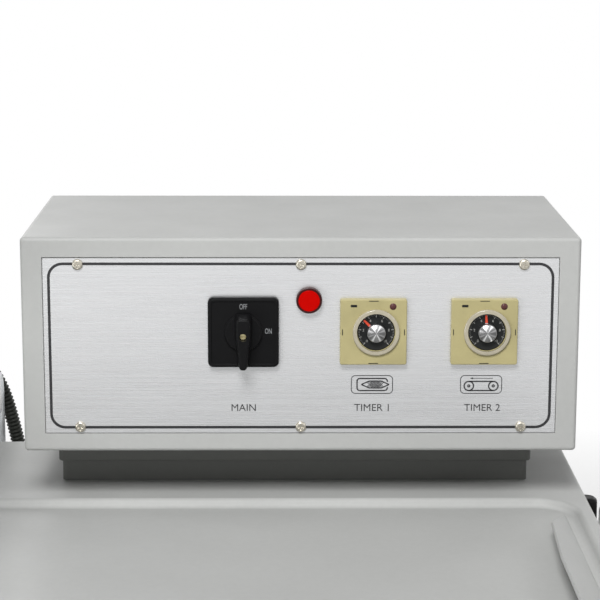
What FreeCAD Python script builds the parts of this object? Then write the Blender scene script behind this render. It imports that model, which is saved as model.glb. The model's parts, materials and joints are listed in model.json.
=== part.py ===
import FreeCAD, Part
import math
import os

# Semi-automatic L bar sealer: a control head on a loading deck, a belt conveyor, an L-shaped
# sealing arm hinged at the back, and a film cradle, all on one frame of square tube.
# Millimetres. +X to the operator's right, +Y away from the operator, +Z up.
# The origin is on the floor under the middle of the machine.

V = FreeCAD.Vector
X_AXIS = V(1, 0, 0)
Y_AXIS = V(0, 1, 0)
Z_AXIS = V(0, 0, 1)

# ---------------------------------------------------------------- driving sizes
# Frame of square tube
TUBE = 40.0
TUBE_WALL = 2.0
TUBE_CORNER = 4.0
END_X = 520.0                # foot beams, left legs and cradle posts, either side of the middle
RAIL_Y = 282.0               # long rails, in front of and behind the middle
MIDDLE_RAIL_X = -222.0
FOOT_BEAM_LENGTH = 770.0
LEG_LENGTH = 620.0
FOOT_HEIGHT = 45.0
FOOT_PAD_RADIUS = 32.0
FOOT_PAD_HEIGHT = 12.0
FOOT_STUD_RADIUS = 6.0
FOOT_NUT_HEIGHT = 8.0
FOOT_INSET = 38.0            # from the end of a foot beam to the foot
PLUG_HEAD = 3.0
SHEET = 1.5
APRON_HEIGHT = 160.0
SHELF_LIP = 15.0
SHELF_GAP = 2.0

# Loading deck
DECK_LEFT = -112.0
DECK_RIGHT = 363.0
DECK_FRONT = -270.0
DECK_SHEET = 2.0
DECK_SKIRT = 75.0
DECK_CORNER = 8.0
DECK_BEND = 3.0
PAN_DEPTH = 6.0
PAN_SLOPE = 8.0              # width of the sloping wall round the pan
PAN_RIGHT_MARGIN = 16.0
PAN_REAR = 137.0
PAN_FRONT_MARGIN = 25.0
PAN_CORNER = 26.0
LIP_FOOT_GAP = 3.6           # between the lip's foot and the pan's wall
LIP_WIDTH = 27.5
LIP_SHEET = 2.0
LIP_LEAN = 50.0              # degrees from upright, over the pan
LIP_REAR = 115.0
LIP_TAPER = 54.0             # length over which its rear end rises to the shoulder
LIP_SHOULDER = 20.5
LIP_RUN = 140.0              # length over which it reaches its full width
LIP_ROOT = 3.0               # trimmed off flush with the pan's floor
LIP_FRONT_GAP = 22.0

# Control head
HEAD_X = 150.0
HEAD_FRONT = 130.0
HEAD_WIDTH = 402.0
HEAD_HEIGHT = 158.0
HEAD_DEPTH = 200.0
HEAD_BEND = 2.8
HEAD_WALL = 1.5
LEDGE = 10.0
PANEL_WIDTH = 370.0
PANEL_HEIGHT = 129.0
PANEL_SHEET = 2.0
PANEL_BOTTOM = 14.0
PANEL_GAP = 0.6
PANEL_SCREW_X = 160.0
PANEL_SCREW_INSET = 4.5
SCREW_RADIUS = 2.0
SCREW_HEAD_RADIUS = 3.9
SCREW_HEAD_HEIGHT = 2.2
SCREW_LENGTH = 9.0
SCREW_SLOT = 1.0
PEDESTAL_HEIGHT = 40.0
PEDESTAL_WIDTH = 359.0
PEDESTAL_SHIFT = -3.5        # its middle stands left of the head's
PEDESTAL_SETBACK = 58.0
PEDESTAL_DEPTH = 110.0
PEDESTAL_CORNER = 4.0
PLINTH_HEIGHT = 15.5
PLINTH_INSET = 2.5
SEAM = 1.5
VENT_LENGTH = 46.0
VENT_HEIGHT = 4.0
VENT_PITCH = 10.0
VENT_ROWS = 6
VENT_X = 95.0
GLAND_RADIUS = 11.0
GLAND_HEX = 8.0
GLAND_DOME = 9.0
GLAND_BORE = 6.2
HEAD_GLAND_X = 0.0
HEAD_GLAND_Z = 30.0

# Power switch
SWITCH_X = -41.4
SWITCH_Z = 89.6
SWITCH_PLATE = 51.0
SWITCH_PLATE_CORNER = 4.0
SWITCH_PLATE_THICK = 6.0
SWITCH_RIM = 2.5
SWITCH_RIM_DEPTH = 0.8
SWITCH_RING_RADIUS = 13.7
SWITCH_RING_HEIGHT = 2.6
SWITCH_BODY = 44.0
SWITCH_BODY_DEPTH = 62.0
SWITCH_CHAMBERS = 4
SHAFT_RADIUS = 4.0
SHAFT_STEP_RADIUS = 1.5      # the screw's shank
SHAFT_STEP = 2.0             # from the screw's seat to the shaft's shoulder
SHAFT_IN_BODY = 12.0
LEVER_TOP = 14.5
LEVER_TAIL = 25.5
LEVER_WIDTH = 12.6
LEVER_TIP_WIDTH = 7.6
LEVER_HEIGHT = 14.0
LEVER_EDGE = 1.6
LEVER_DRAFT = 1.5            # how far its sides draw in towards the front
LEVER_SCREW_RADIUS = 2.3
LEVER_SCREW_SEAT = 6.0       # depth of the screw's counterbore
LEVER_SCREW_HEAD = 2.4
LEVER_GAP = 0.4
RUNNING_FIT = 0.05           # radial, where a shaft turns in a bore

# Pilot lamp
LAMP_X = 5.8
LAMP_Z = 113.0
LAMP_RING_RADIUS = 9.3
LAMP_RING_HEIGHT = 6.0
LAMP_RING_EDGE = 0.6
LAMP_LENS_RADIUS = 7.7
LAMP_LENS_HEIGHT = 6.2
LAMP_LENS_EDGE = 0.5
LAMP_LENS_DEPTH = 4.6
LAMP_BARREL_RADIUS = 7.8
LAMP_BARREL_LENGTH = 34.0
LAMP_NUT_RADIUS = 11.0
LAMP_NUT_HEIGHT = 4.0

# Timers
TIMER_X = (52.1, 131.9)
TIMER_Z = 89.9
TIMER_FACE = 48.0
TIMER_PROUD = 5.5
TIMER_CORNER = 1.5
TIMER_BODY = 44.6
TIMER_BODY_DEPTH = 72.0
TIMER_SOCKET_DEPTH = 22.0
TIMER_SOCKET_STEP = 6.0
DIAL_SHIFT = 1.9             # the dial stands right of the face's middle
DIAL_RADIUS = 13.9
DIAL_RECESS = 1.0
BEZEL_RADIUS = 16.9
BEZEL_HEIGHT = 2.2
DIAL_CAP_RADIUS = 6.6
DIAL_CAP_HEIGHT = 5.5
DIAL_GAP = 0.3
POINTER_LENGTH = 12.8
POINTER_WIDTH = 2.6
POINTER_TIP_WIDTH = 1.3
POINTER_THICK = 0.8
POINTER_ANGLES = (-45.0, -4.0)  # clockwise from straight up, as the operator sees them

# Inside the control head
CONTACTOR = (45.0, 80.0, 74.0)
CONTACTOR_AT = (-128.0, 62.0)
TRANSFORMER = (84.0, 62.0, 72.0)
TRANSFORMER_AT = (20.0, 112.0)
TRANSFORMER_COIL_BULGE = 12.0

# Conveyor
CONVEYOR_LEFT = -650.0
CONVEYOR_RIGHT = -150.0
CONVEYOR_FRONT = -252.0
CONVEYOR_REAR = 202.0
CONVEYOR_PLATE = 4.0
CONVEYOR_PLATE_TOP = 61.0    # above the rails
CONVEYOR_END_RADIUS = 18.0
ROLLER_RADIUS = 24.7
ROLLER_INSET = 30.0          # from an end of the conveyor to a roller's axis
ROLLER_AXIS_HEIGHT = 38.5    # above the rails
ROLLER_SHAFT_RADIUS = 7.5
ROLLER_END_GAP = 2.0
ROLLER_SHAFT_STUB = 8.0
BELT_THICK = 1.5
BELT_GAP = 0.3
BELT_EDGE_GAP = 8.0
BED_SHEET = 2.0
BED_FLANGE = 20.0
BED_ROLLER_GAP = 6.0
GEARBOX_SIZE = 58.0
GEARBOX_DEPTH = 48.0
GEARBOX_CORNER = 7.0
MOTOR_RADIUS = 23.0
MOTOR_LENGTH = 150.0
MOTOR_RIBS = 6
MOTOR_RIB_HEIGHT = 2.0
FAN_COVER = 28.0

# Lower jaw
JAW_WIDTH = 28.0
JAW_TOP = 61.0               # above the rails
JAW_LEFT = -600.0
JAW_DECK_GAP = 2.0
PAD_WIDTH = 18.0
PAD_SEAT = 6.0
PAD_HEIGHT = 11.0
PAD_END = 8.0
PAD_REAR = 240.0

# Sealing arm, described lowered on to the jaw, then swung up by ARM_OPEN
ARM_OPEN = 28.0
PIVOT_Y = 335.0
PIVOT_Z = 100.0              # above the rails
PIVOT_SHAFT_RADIUS = 10.0
HUB_RADIUS = 19.0
HUB_LEFT = -298.0
HUB_RIGHT = -130.0
LIMB = 40.0
LIMB_UNDER = 87.0            # underside above the rails
LIMB_CORNER = 5.0
LIMB_LEFT = -600.0
ROOT_RIB = 8.0
ROOT_RIB_LEFT = -290.0
ROOT_HEIGHT = 52.0
BAR_WIDTH = 20.0
BAR_NOSE = 5.0
BAR_SHOULDER = 9.0
BAR_GAP = 0.5
TAIL_X = -226.0
TAIL_LENGTH = 85.0
TAIL_WIDTH = 22.0
TAIL_THICK = 8.0
HANDLE_X = (-440.0, -280.0)
HANDLE_REACH = 46.0
HANDLE_POST_RADIUS = 7.0
GRIP_RADIUS = 14.0
GRIP_EDGE = 4.0
GRIP_OVERHANG = 16.0

# Hinge brackets and return spring
BRACKET_THICK = 12.0
BRACKET_RIGHT = -97.0
BRACKET_LEFT = -330.0
BRACKET_RADIUS = 24.0
BRACKET_FOOT_WIDTH = 46.0
BRACKET_FOOT_THICK = 8.0
BRACKET_BOTTOM = 50.0        # below the rails' top
BOSS_RADIUS = 21.0
BOSS_LENGTH = 15.0
SPRING_RADIUS = 8.0
SPRING_WIRE = 2.0
SPRING_EYE_GAP = 7.0
ANCHOR_Y = 226.0
ANCHOR_RADIUS = 6.0

# Magnets that hold the arm down
MAGNET_X = (-570.0, -180.0)
MAGNET_Y = -330.0
MAGNET_RADIUS = 20.0
MAGNET_HEIGHT = 44.0
MAGNET_SHELF = 5.0
MAGNET_SHELF_HEIGHT = 10.0   # above the rails' top
KEEPER_RADIUS = 22.0
KEEPER_THICK = 6.0
KEEPER_GAP = 0.6
KEEPER_STUD_RADIUS = 6.0
KEEPER_TAB = 6.0

# Film cradle
CRADLE_LEFT = 391.5
CRADLE_RIGHT = 650.0
CRADLE_PLATE = 4.0
CRADLE_TOP = 820.5
CRADLE_DIP = 705.0
CRADLE_BOTTOM = 600.0
CRADLE_HORN_WIDTH = 56.0
CRADLE_CORNER = 16.0
POST_HEIGHT = 560.0
CRADLE_ROLLER_X = (450.0, 596.0)
CRADLE_ROLLER_Z = 650.0
CRADLE_ROLLER_RADIUS = 22.0
GUIDE_ROLLER_X = 421.0
GUIDE_ROLLER_Z = 792.0
GUIDE_ROLLER_RADIUS = 19.0
SPINDLE_RADIUS = 6.0
SPINDLE_HEAD = 5.0
SPINDLE_HEAD_RADIUS = 10.0
CRADLE_ROLLER_GAP = 3.0
TIE_RADIUS = 8.0
TIE_Z = 622.0
TIE_X = 523.0
KNOB_X = 380.5
KNOB_TOP = 825.0
KNOB_HEIGHT = 24.0
KNOB_RADIUS = 9.0
KNOB_DOME = 4.0
KNOB_STEM_RADIUS = 3.0
KNOB_STEM = 14.0
KNOB_TAB = 4.0
KNOB_TAB_WIDTH = 20.0
KNOB_TAB_REACH = 16.0
KNOB_TAB_GAP = 0.5

# Conduit from the frame's rear gland up to the arm: a free-hanging line of chosen points,
# each given as x, y and its height above the rails' top
CONDUIT_RADIUS = 6.0
CONDUIT_ROUTE = (
    (-74.0, 320.5, -85.0),
    (-74.0, 339.0, -85.0),
    (-74.5, 356.5, -76.5),
    (-75.3, 367.5, -59.0),
    (-77.0, 371.0, -33.0),
    (-80.0, 370.5, 1.0),
    (-84.5, 370.0, 39.0),
    (-91.5, 370.0, 73.0),
    (-98.0, 370.0, 98.0),
    (-106.5, 370.0, 115.5),
    (-118.5, 370.0, 128.0),
    (-134.0, 370.0, 134.0),
    (-149.0, 370.0, 134.0),
)

# ---------------------------------------------------------------- sizes that follow
BEAM_Z = FOOT_HEIGHT
LOWER_Z = BEAM_Z + TUBE
LEG_Z = LOWER_Z + TUBE
UPPER_Z = LEG_Z + LEG_LENGTH
RAIL_TOP = UPPER_Z + TUBE
DECK_TOP = RAIL_TOP + DECK_SKIRT
DECK_REAR = RAIL_Y + TUBE / 2
RIGHT_LEG_X = DECK_RIGHT - TUBE / 2
FRAME_LEFT = -END_X - TUBE / 2
HEAD_BASE = DECK_TOP + PEDESTAL_HEIGHT
CONDUIT_LINE = [(x, y, RAIL_TOP + z) for x, y, z in CONDUIT_ROUTE]
HEAD_REAR = HEAD_FRONT + HEAD_DEPTH
PAN_FLOOR = DECK_TOP - PAN_DEPTH
PAN_RIGHT = DECK_RIGHT - PAN_RIGHT_MARGIN
PIVOT = V(0, PIVOT_Y, RAIL_TOP + PIVOT_Z)
JAW_RIGHT = DECK_LEFT - JAW_DECK_GAP
JAW_FRONT = -RAIL_Y - TUBE / 2
PAD_TOP = RAIL_TOP + JAW_TOP - PAD_SEAT + PAD_HEIGHT
ROLLER_Z = RAIL_TOP + ROLLER_AXIS_HEIGHT
BELT_INNER = ROLLER_RADIUS + BELT_GAP
DRIVE_X = CONVEYOR_LEFT + ROLLER_INSET
TAIL_ROLLER_X = CONVEYOR_RIGHT - ROLLER_INSET
ROOT_RIB_X = (ROOT_RIB_LEFT, CONDUIT_ROUTE[-1][0] - GLAND_HEX - GLAND_DOME - ROOT_RIB)
LIMB_X = JAW_RIGHT - JAW_WIDTH / 2
LIMB_Y = JAW_FRONT + JAW_WIDTH / 2
LIMB_Z = RAIL_TOP + LIMB_UNDER


# ---------------------------------------------------------------- helpers
def block(x0, x1, y0, y1, z0, z1):
    return Part.makeBox(x1 - x0, y1 - y0, z1 - z0, V(x0, y0, z0))


def rod(x, y, z, axis, radius, length):
    return Part.makeCylinder(radius, length, V(x, y, z), axis)


def round_edges(shape, radius, chosen):
    return shape.makeFillet(radius, [edge for edge in shape.Edges if chosen(edge)])


def runs_along(edge, axis):
    ends = edge.Vertexes
    if len(ends) < 2:
        return False
    step = ends[1].Point - ends[0].Point
    return step.Length > 0 and abs(abs(step.dot(axis)) - step.Length) < 1e-6


def tube(x, y, z, axis, length, size=TUBE):
    """Square tube with open ends, its middle line starting at x, y, z."""
    half = size / 2
    inner = half - TUBE_WALL
    outside = Part.makeBox(size, size, length, V(-half, -half, 0))
    outside = round_edges(outside, TUBE_CORNER, lambda edge: runs_along(edge, Z_AXIS))
    inside = Part.makeBox(2 * inner, 2 * inner, length, V(-inner, -inner, 0))
    shape = outside.cut(inside)
    if axis == X_AXIS:
        shape.rotate(V(0, 0, 0), Y_AXIS, 90)
    if axis == Y_AXIS:
        shape.rotate(V(0, 0, 0), X_AXIS, -90)
    shape.translate(V(x, y, z))
    return shape


def outline(corners):
    """Closed wire round corners given as (point, radius), each rounded by a tangent arc."""
    spans = []
    for number, (point, radius) in enumerate(corners):
        back = (corners[number - 1][0] - point).normalize()
        ahead = (corners[(number + 1) % len(corners)][0] - point).normalize()
        if radius == 0:
            spans.append((point, None, point))
            continue
        half = back.getAngle(ahead) / 2
        run = radius / math.tan(half)
        middle = point + (back + ahead).normalize() * (radius / math.sin(half) - radius)
        spans.append((point + back * run, middle, point + ahead * run))
    edges = []
    for number, (start, middle, end) in enumerate(spans):
        if middle:
            edges.append(Part.Arc(start, middle, end).toShape())
        following = spans[(number + 1) % len(spans)][0]
        if end.distanceToPoint(following) > 1e-6:
            edges.append(Part.LineSegment(end, following).toShape())
    return Part.Wire(edges)


def plate(corners, place, push):
    """Flat plate: 2-D corners (a, b, radius) laid out by place(a, b), thickened by push."""
    wire = outline([(place(a, b), radius) for a, b, radius in corners])
    return Part.Face(wire).extrude(push)


def rectangle(x0, x1, y0, y1, radius):
    return [(x0, y0, radius), (x1, y0, radius), (x1, y1, radius), (x0, y1, radius)]


def panel_x(x):
    return HEAD_X + x


def panel_z(z):
    return HEAD_BASE + z


def raised(shape):
    """A piece of the sealing arm, swung up from the jaw to its resting place."""
    turned = shape.copy()
    turned.rotate(PIVOT, X_AXIS, -ARM_OPEN)
    return turned


def screw_with_cross(x, y, z, length):
    """Pan-head cross-recess screw whose head rests on the plane y and faces the operator."""
    head = rod(x, y - SCREW_HEAD_HEIGHT, z, Y_AXIS, SCREW_HEAD_RADIUS, SCREW_HEAD_HEIGHT)
    front = y - SCREW_HEAD_HEIGHT
    head = round_edges(head, SCREW_HEAD_HEIGHT * 0.6,
                       lambda edge: edge.BoundBox.YMax < front + 1e-6)
    shank = rod(x, y, z, Y_AXIS, SCREW_RADIUS, length)
    reach = SCREW_HEAD_RADIUS * 0.6
    slot = SCREW_SLOT / 2
    depth = SCREW_HEAD_HEIGHT / 2
    cross = block(x - reach, x + reach, front - 1, front + depth, z - slot, z + slot)
    cross = cross.fuse(block(x - slot, x + slot, front - 1, front + depth, z - reach, z + reach))
    return head.fuse(shank).cut(cross)


def hexagon(x, y, z, axis, radius, length):
    """Six-sided nut or gland body; radius is to its corners."""
    points = []
    for corner in range(7):
        angle = math.radians(60 * corner)
        points.append(V(radius * math.cos(angle), radius * math.sin(angle), 0))
    shape = Part.Face(Part.makePolygon(points)).extrude(V(0, 0, length))
    shape.Placement = FreeCAD.Placement(V(x, y, z), FreeCAD.Rotation(Z_AXIS, axis))
    return shape


def gland(x, y, z, axis, bore_depth):
    """Cable gland: a hexagon against the wall, then a domed nut with a blind bore."""
    tip = V(x, y, z) + axis * GLAND_HEX
    body = hexagon(x, y, z, axis, GLAND_RADIUS, GLAND_HEX)
    dome = rod(tip.x, tip.y, tip.z, axis, GLAND_RADIUS * 0.85, GLAND_DOME)
    end = tip + axis * GLAND_DOME
    dome = round_edges(dome, 3.0, lambda edge: abs((edge.CenterOfMass - end).dot(axis)) < 1e-6)
    mouth = end - axis * bore_depth
    return body.fuse(dome).cut(rod(mouth.x, mouth.y, mouth.z, axis, GLAND_BORE, bore_depth))


# ---------------------------------------------------------------- frame
def foot_beams():
    start = -FOOT_BEAM_LENGTH / 2
    return [tube(x, start, BEAM_Z + TUBE / 2, Y_AXIS, FOOT_BEAM_LENGTH) for x in (-END_X, END_X)]


def foot_places():
    reach = FOOT_BEAM_LENGTH / 2 - FOOT_INSET
    return [(x, y) for x in (-END_X, END_X) for y in (-reach, reach)]


def leveling_feet():
    feet = []
    for x, y in foot_places():
        pad = rod(x, y, 0, Z_AXIS, FOOT_PAD_RADIUS, FOOT_PAD_HEIGHT)
        pad = round_edges(pad, FOOT_PAD_HEIGHT / 3,
                          lambda edge: edge.BoundBox.ZMin > FOOT_PAD_HEIGHT - 1e-6)
        stud = rod(x, y, FOOT_PAD_HEIGHT, Z_AXIS, FOOT_STUD_RADIUS, BEAM_Z - FOOT_PAD_HEIGHT)
        nut_z = BEAM_Z - FOOT_NUT_HEIGHT
        nut = hexagon(x, y, nut_z, Z_AXIS, 2 * FOOT_STUD_RADIUS, FOOT_NUT_HEIGHT)
        feet.append(pad.fuse(stud).fuse(nut))
    return feet


def end_plug(x, y, z, axis):
    """Plastic plug closing an open tube end, pushed in against axis."""
    inner = TUBE / 2 - TUBE_WALL - 0.1
    head = Part.makeBox(TUBE, TUBE, PLUG_HEAD, V(-TUBE / 2, -TUBE / 2, 0))
    head = round_edges(head, TUBE_CORNER, lambda edge: runs_along(edge, Z_AXIS))
    shank = Part.makeBox(2 * inner, 2 * inner, TUBE / 2, V(-inner, -inner, -TUBE / 2))
    shape = head.fuse(shank)
    shape.Placement = FreeCAD.Placement(V(x, y, z), FreeCAD.Rotation(Z_AXIS, axis))
    return shape


def tube_plugs():
    plugs = []
    for side in (-1, 1):
        for y in (-RAIL_Y, RAIL_Y):
            x = side * (END_X + TUBE / 2)
            plugs.append(end_plug(x, y, LOWER_Z + TUBE / 2, X_AXIS * side))
    for y in (-RAIL_Y, RAIL_Y):
        plugs.append(end_plug(FRAME_LEFT, y, UPPER_Z + TUBE / 2, X_AXIS * -1))
        plugs.append(end_plug(END_X, y, LEG_Z + POST_HEIGHT, Z_AXIS))
    for x in (-END_X, END_X):
        for side in (-1, 1):
            y = side * FOOT_BEAM_LENGTH / 2
            plugs.append(end_plug(x, y, BEAM_Z + TUBE / 2, Y_AXIS * side))
    return plugs


def lower_rails():
    length = 2 * END_X + TUBE
    rails = [tube(-length / 2, y, LOWER_Z + TUBE / 2, X_AXIS, length) for y in (-RAIL_Y, RAIL_Y)]
    cross = 2 * RAIL_Y - TUBE
    rails.append(tube(RIGHT_LEG_X, -cross / 2, LOWER_Z + TUBE / 2, Y_AXIS, cross))
    return rails


def legs():
    return [tube(x, y, LEG_Z, Z_AXIS, LEG_LENGTH)
            for x in (-END_X, RIGHT_LEG_X) for y in (-RAIL_Y, RAIL_Y)]


def upper_rails():
    length = DECK_RIGHT - FRAME_LEFT
    rails = [tube(FRAME_LEFT, y, UPPER_Z + TUBE / 2, X_AXIS, length) for y in (-RAIL_Y, RAIL_Y)]
    cross = 2 * RAIL_Y - TUBE
    for x in (-END_X, MIDDLE_RAIL_X, RIGHT_LEG_X):
        rails.append(tube(x, -cross / 2, UPPER_Z + TUBE / 2, Y_AXIS, cross))
    return rails


def aprons():
    """Sheets that close the frame in under the rails, on the outside of the legs."""
    front = JAW_FRONT
    top = UPPER_Z + TUBE / 2
    bottom = top - APRON_HEIGHT
    return [
        block(FRAME_LEFT, DECK_RIGHT, front - SHEET, front, bottom, top),
        block(FRAME_LEFT, DECK_RIGHT, DECK_REAR, DECK_REAR + SHEET, bottom, top),
        block(FRAME_LEFT - SHEET, FRAME_LEFT, front, DECK_REAR, bottom, UPPER_Z),
        block(DECK_RIGHT, DECK_RIGHT + SHEET, front, DECK_REAR, bottom, top),
    ]


def lower_shelf():
    """Tray of folded sheet lying on the lower rails between the legs."""
    clear = TUBE / 2 + SHELF_GAP
    x0, x1 = -END_X + clear, RIGHT_LEG_X - clear
    y0, y1 = -RAIL_Y, RAIL_Y
    outer = block(x0, x1, y0, y1, LEG_Z, LEG_Z + SHELF_LIP)
    outer = round_edges(outer, TUBE_CORNER, lambda edge: runs_along(edge, Z_AXIS))
    inner = block(x0 + SHEET, x1 - SHEET, y0 + SHEET, y1 - SHEET, LEG_Z + SHEET, LEG_Z + SHELF_LIP)
    return outer.cut(inner)


# ---------------------------------------------------------------- deck
def pan_outline(grow, z):
    """Wire of the pan's floor edge at height z, grown outwards; it runs off the deck's left."""
    left = DECK_LEFT - 4 * PAN_CORNER
    front = DECK_FRONT + PAN_FRONT_MARGIN
    corners = rectangle(left, PAN_RIGHT + grow, front - grow, PAN_REAR + grow, PAN_CORNER + grow)
    return outline([(V(x, y, z), radius) for x, y, radius in corners])


def pan_wall():
    """Sheet wall of the pan: an S-bend of two equal arcs, swept round three sides."""
    sheet = DECK_SHEET
    turn = 2 * math.atan(PAN_DEPTH / PAN_SLOPE)
    radius = PAN_SLOPE / (2 * math.sin(turn))
    half = turn / 2
    y0 = DECK_FRONT + PAN_FRONT_MARGIN
    z0 = PAN_FLOOR

    def at(outward, rise):
        return V(DECK_LEFT, y0 - outward, z0 + rise)

    def low_arc(angle, offset):
        reach = radius + offset
        return at(reach * math.sin(angle), radius - reach * math.cos(angle))

    def high_arc(angle, offset):
        reach = radius - offset
        return at(PAN_SLOPE - reach * math.sin(angle),
                  PAN_DEPTH - radius + reach * math.cos(angle))

    edges = []
    for offset in (0, sheet):
        edges.append(Part.Arc(low_arc(0, offset), low_arc(half, offset),
                              low_arc(turn, offset)).toShape())
        edges.append(Part.Arc(high_arc(turn, offset), high_arc(half, offset),
                              high_arc(0, offset)).toShape())
    edges.append(Part.LineSegment(low_arc(0, 0), low_arc(0, sheet)).toShape())
    edges.append(Part.LineSegment(high_arc(0, 0), high_arc(0, sheet)).toShape())
    section = Part.Wire(Part.__sortEdges__(edges))
    corner = PAN_CORNER
    y1 = PAN_REAR
    lean = corner * (1 - math.sqrt(0.5))
    turns = [V(DECK_LEFT, y0, z0), V(PAN_RIGHT - corner, y0, z0), V(PAN_RIGHT, y0 + corner, z0),
             V(PAN_RIGHT, y1 - corner, z0), V(PAN_RIGHT - corner, y1, z0), V(DECK_LEFT, y1, z0)]
    path = Part.Wire([
        Part.LineSegment(turns[0], turns[1]).toShape(),
        Part.Arc(turns[1], V(PAN_RIGHT - lean, y0 + lean, z0), turns[2]).toShape(),
        Part.LineSegment(turns[2], turns[3]).toShape(),
        Part.Arc(turns[3], V(PAN_RIGHT - lean, y1 - lean, z0), turns[4]).toShape(),
        Part.LineSegment(turns[4], turns[5]).toShape(),
    ])
    return path.makePipeShell([section], True, False)


def deck():
    """Folded tray with a pressed pan: the pan stops short of the right and rear edges."""
    outer = block(DECK_LEFT, DECK_RIGHT, DECK_FRONT, DECK_REAR, RAIL_TOP, DECK_TOP)
    outer = round_edges(outer, DECK_CORNER, lambda edge: runs_along(edge, Z_AXIS))
    outer = round_edges(outer, DECK_BEND, lambda edge: edge.BoundBox.ZMin > DECK_TOP - 1e-6)
    inner = block(DECK_LEFT + DECK_SHEET, DECK_RIGHT - DECK_SHEET, DECK_FRONT + DECK_SHEET,
                  DECK_REAR - DECK_SHEET, RAIL_TOP, DECK_TOP - DECK_SHEET)
    low = PAN_FLOOR - DECK_SHEET
    well = Part.Face(pan_outline(PAN_SLOPE, low)).extrude(V(0, 0, 2 * DECK_SKIRT))
    floor = Part.Face(pan_outline(0, low)).extrude(V(0, 0, DECK_SHEET)).common(outer)
    return outer.cut(inner).cut(well).fuse(pan_wall()).fuse(floor).removeSplitter()


def film_guide_lip():
    """Strip welded along the pan's right side and leaning over it, its rear end swept down."""
    front = DECK_FRONT + PAN_FRONT_MARGIN + LIP_FRONT_GAP
    lean = math.radians(LIP_LEAN)
    across = V(-math.sin(lean), 0, math.cos(lean))
    normal = V(math.cos(lean), 0, math.sin(lean))
    foot = V(PAN_RIGHT - LIP_FOOT_GAP - LIP_SHEET / math.cos(lean), 0, PAN_FLOOR)

    def place(y, rise):
        return foot + across * rise + V(0, y, 0)

    corners = [
        (front, -LIP_ROOT, 0),
        (LIP_REAR, -LIP_ROOT, 0),
        (LIP_REAR, 0, 0),
        (LIP_REAR - LIP_TAPER, LIP_SHOULDER, LIP_TAPER / 2),
        (LIP_REAR - LIP_RUN, LIP_WIDTH, LIP_RUN / 4),
        (front, LIP_WIDTH, LIP_WIDTH / 3),
    ]
    strip = plate(corners, place, normal * LIP_SHEET)
    below = block(foot.x - LIP_WIDTH, PAN_RIGHT + LIP_WIDTH, front, LIP_REAR,
                  PAN_FLOOR - 2 * LIP_ROOT, PAN_FLOOR)
    return strip.cut(below)


# ---------------------------------------------------------------- control head
def ring(x0, x1, z0, z1, border, y0, y1):
    return block(x0, x1, y0, y1, z0, z1).cut(
        block(x0 + border, x1 - border, y0, y1, z0 + border, z1 - border))


def head_sides():
    return panel_x(-HEAD_WIDTH / 2), panel_x(HEAD_WIDTH / 2), HEAD_BASE, HEAD_BASE + HEAD_HEIGHT


def panel_opening():
    x0, x1 = panel_x(-PANEL_WIDTH / 2 - PANEL_GAP), panel_x(PANEL_WIDTH / 2 + PANEL_GAP)
    return x0, x1, panel_z(PANEL_BOTTOM - PANEL_GAP), panel_z(PANEL_BOTTOM + PANEL_HEIGHT + PANEL_GAP)


def panel_screw_places():
    low = PANEL_BOTTOM + PANEL_SCREW_INSET
    high = PANEL_BOTTOM + PANEL_HEIGHT - PANEL_SCREW_INSET
    return [(panel_x(x), panel_z(z))
            for z in (low, high) for x in (-PANEL_SCREW_X, 0, PANEL_SCREW_X)]


def cover_screw_places():
    x0, x1, z0, z1 = head_sides()
    inset = HEAD_WALL + LEDGE / 2 + 1
    return [(x, z) for x in (x0 + inset, x1 - inset) for z in (z0 + inset, z1 - inset)]


def head_shell():
    """Folded box, open at the back, with a stepped ledge that the panel seats in."""
    x0, x1, z0, z1 = head_sides()
    wall = HEAD_WALL
    shell = block(x0, x1, HEAD_FRONT, HEAD_REAR, z0, z1)
    shell = round_edges(shell, HEAD_BEND, lambda edge: edge.BoundBox.YMin < HEAD_REAR - 1e-6)
    shell = shell.cut(block(x0 + wall, x1 - wall, HEAD_FRONT + wall, HEAD_REAR,
                            z0 + wall, z1 - wall))
    px0, px1, pz0, pz1 = panel_opening()
    back = HEAD_FRONT + PANEL_SHEET
    step = ring(px0 - wall, px1 + wall, pz0 - wall, pz1 + wall, wall, HEAD_FRONT, back + wall)
    ledge = ring(px0, px1, pz0, pz1, LEDGE, back, back + wall)
    shell = shell.cut(block(px0, px1, HEAD_FRONT, back, pz0, pz1)).fuse(step).fuse(ledge)
    rear = ring(x0 + wall, x1 - wall, z0 + wall, z1 - wall, LEDGE,
                HEAD_REAR - 2 * wall, HEAD_REAR - wall)
    shell = shell.fuse(rear)
    for x, z in panel_screw_places():
        shell = shell.cut(rod(x, back, z, Y_AXIS, SCREW_RADIUS + RUNNING_FIT, wall))
    for x, z in cover_screw_places():
        shell = shell.cut(rod(x, HEAD_REAR - 2 * wall, z, Y_AXIS, SCREW_RADIUS + RUNNING_FIT, wall))
    return shell.removeSplitter()


def head_rear_cover():
    x0, x1, z0, z1 = head_sides()
    edge = HEAD_WALL + PANEL_GAP
    front = HEAD_REAR - HEAD_WALL
    cover = block(x0 + edge, x1 - edge, front, HEAD_REAR, z0 + edge, z1 - edge)
    middle = (z0 + z1) / 2
    for side in (-1, 1):
        centre = panel_x(side * VENT_X)
        for row in range(VENT_ROWS):
            z = middle + (row - (VENT_ROWS - 1) / 2) * VENT_PITCH
            corners = rectangle(centre - VENT_LENGTH / 2, centre + VENT_LENGTH / 2,
                                z - VENT_HEIGHT / 2, z + VENT_HEIGHT / 2, VENT_HEIGHT * 0.45)
            cover = cover.cut(plate(corners, lambda a, b: V(a, front, b), V(0, HEAD_WALL, 0)))
    cover = cover.cut(rod(panel_x(HEAD_GLAND_X), front, panel_z(HEAD_GLAND_Z), Y_AXIS,
                          GLAND_RADIUS * 0.7, HEAD_WALL))
    for x, z in cover_screw_places():
        cover = cover.cut(rod(x, front, z, Y_AXIS, SCREW_RADIUS + 0.3, HEAD_WALL))
    return cover


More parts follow.
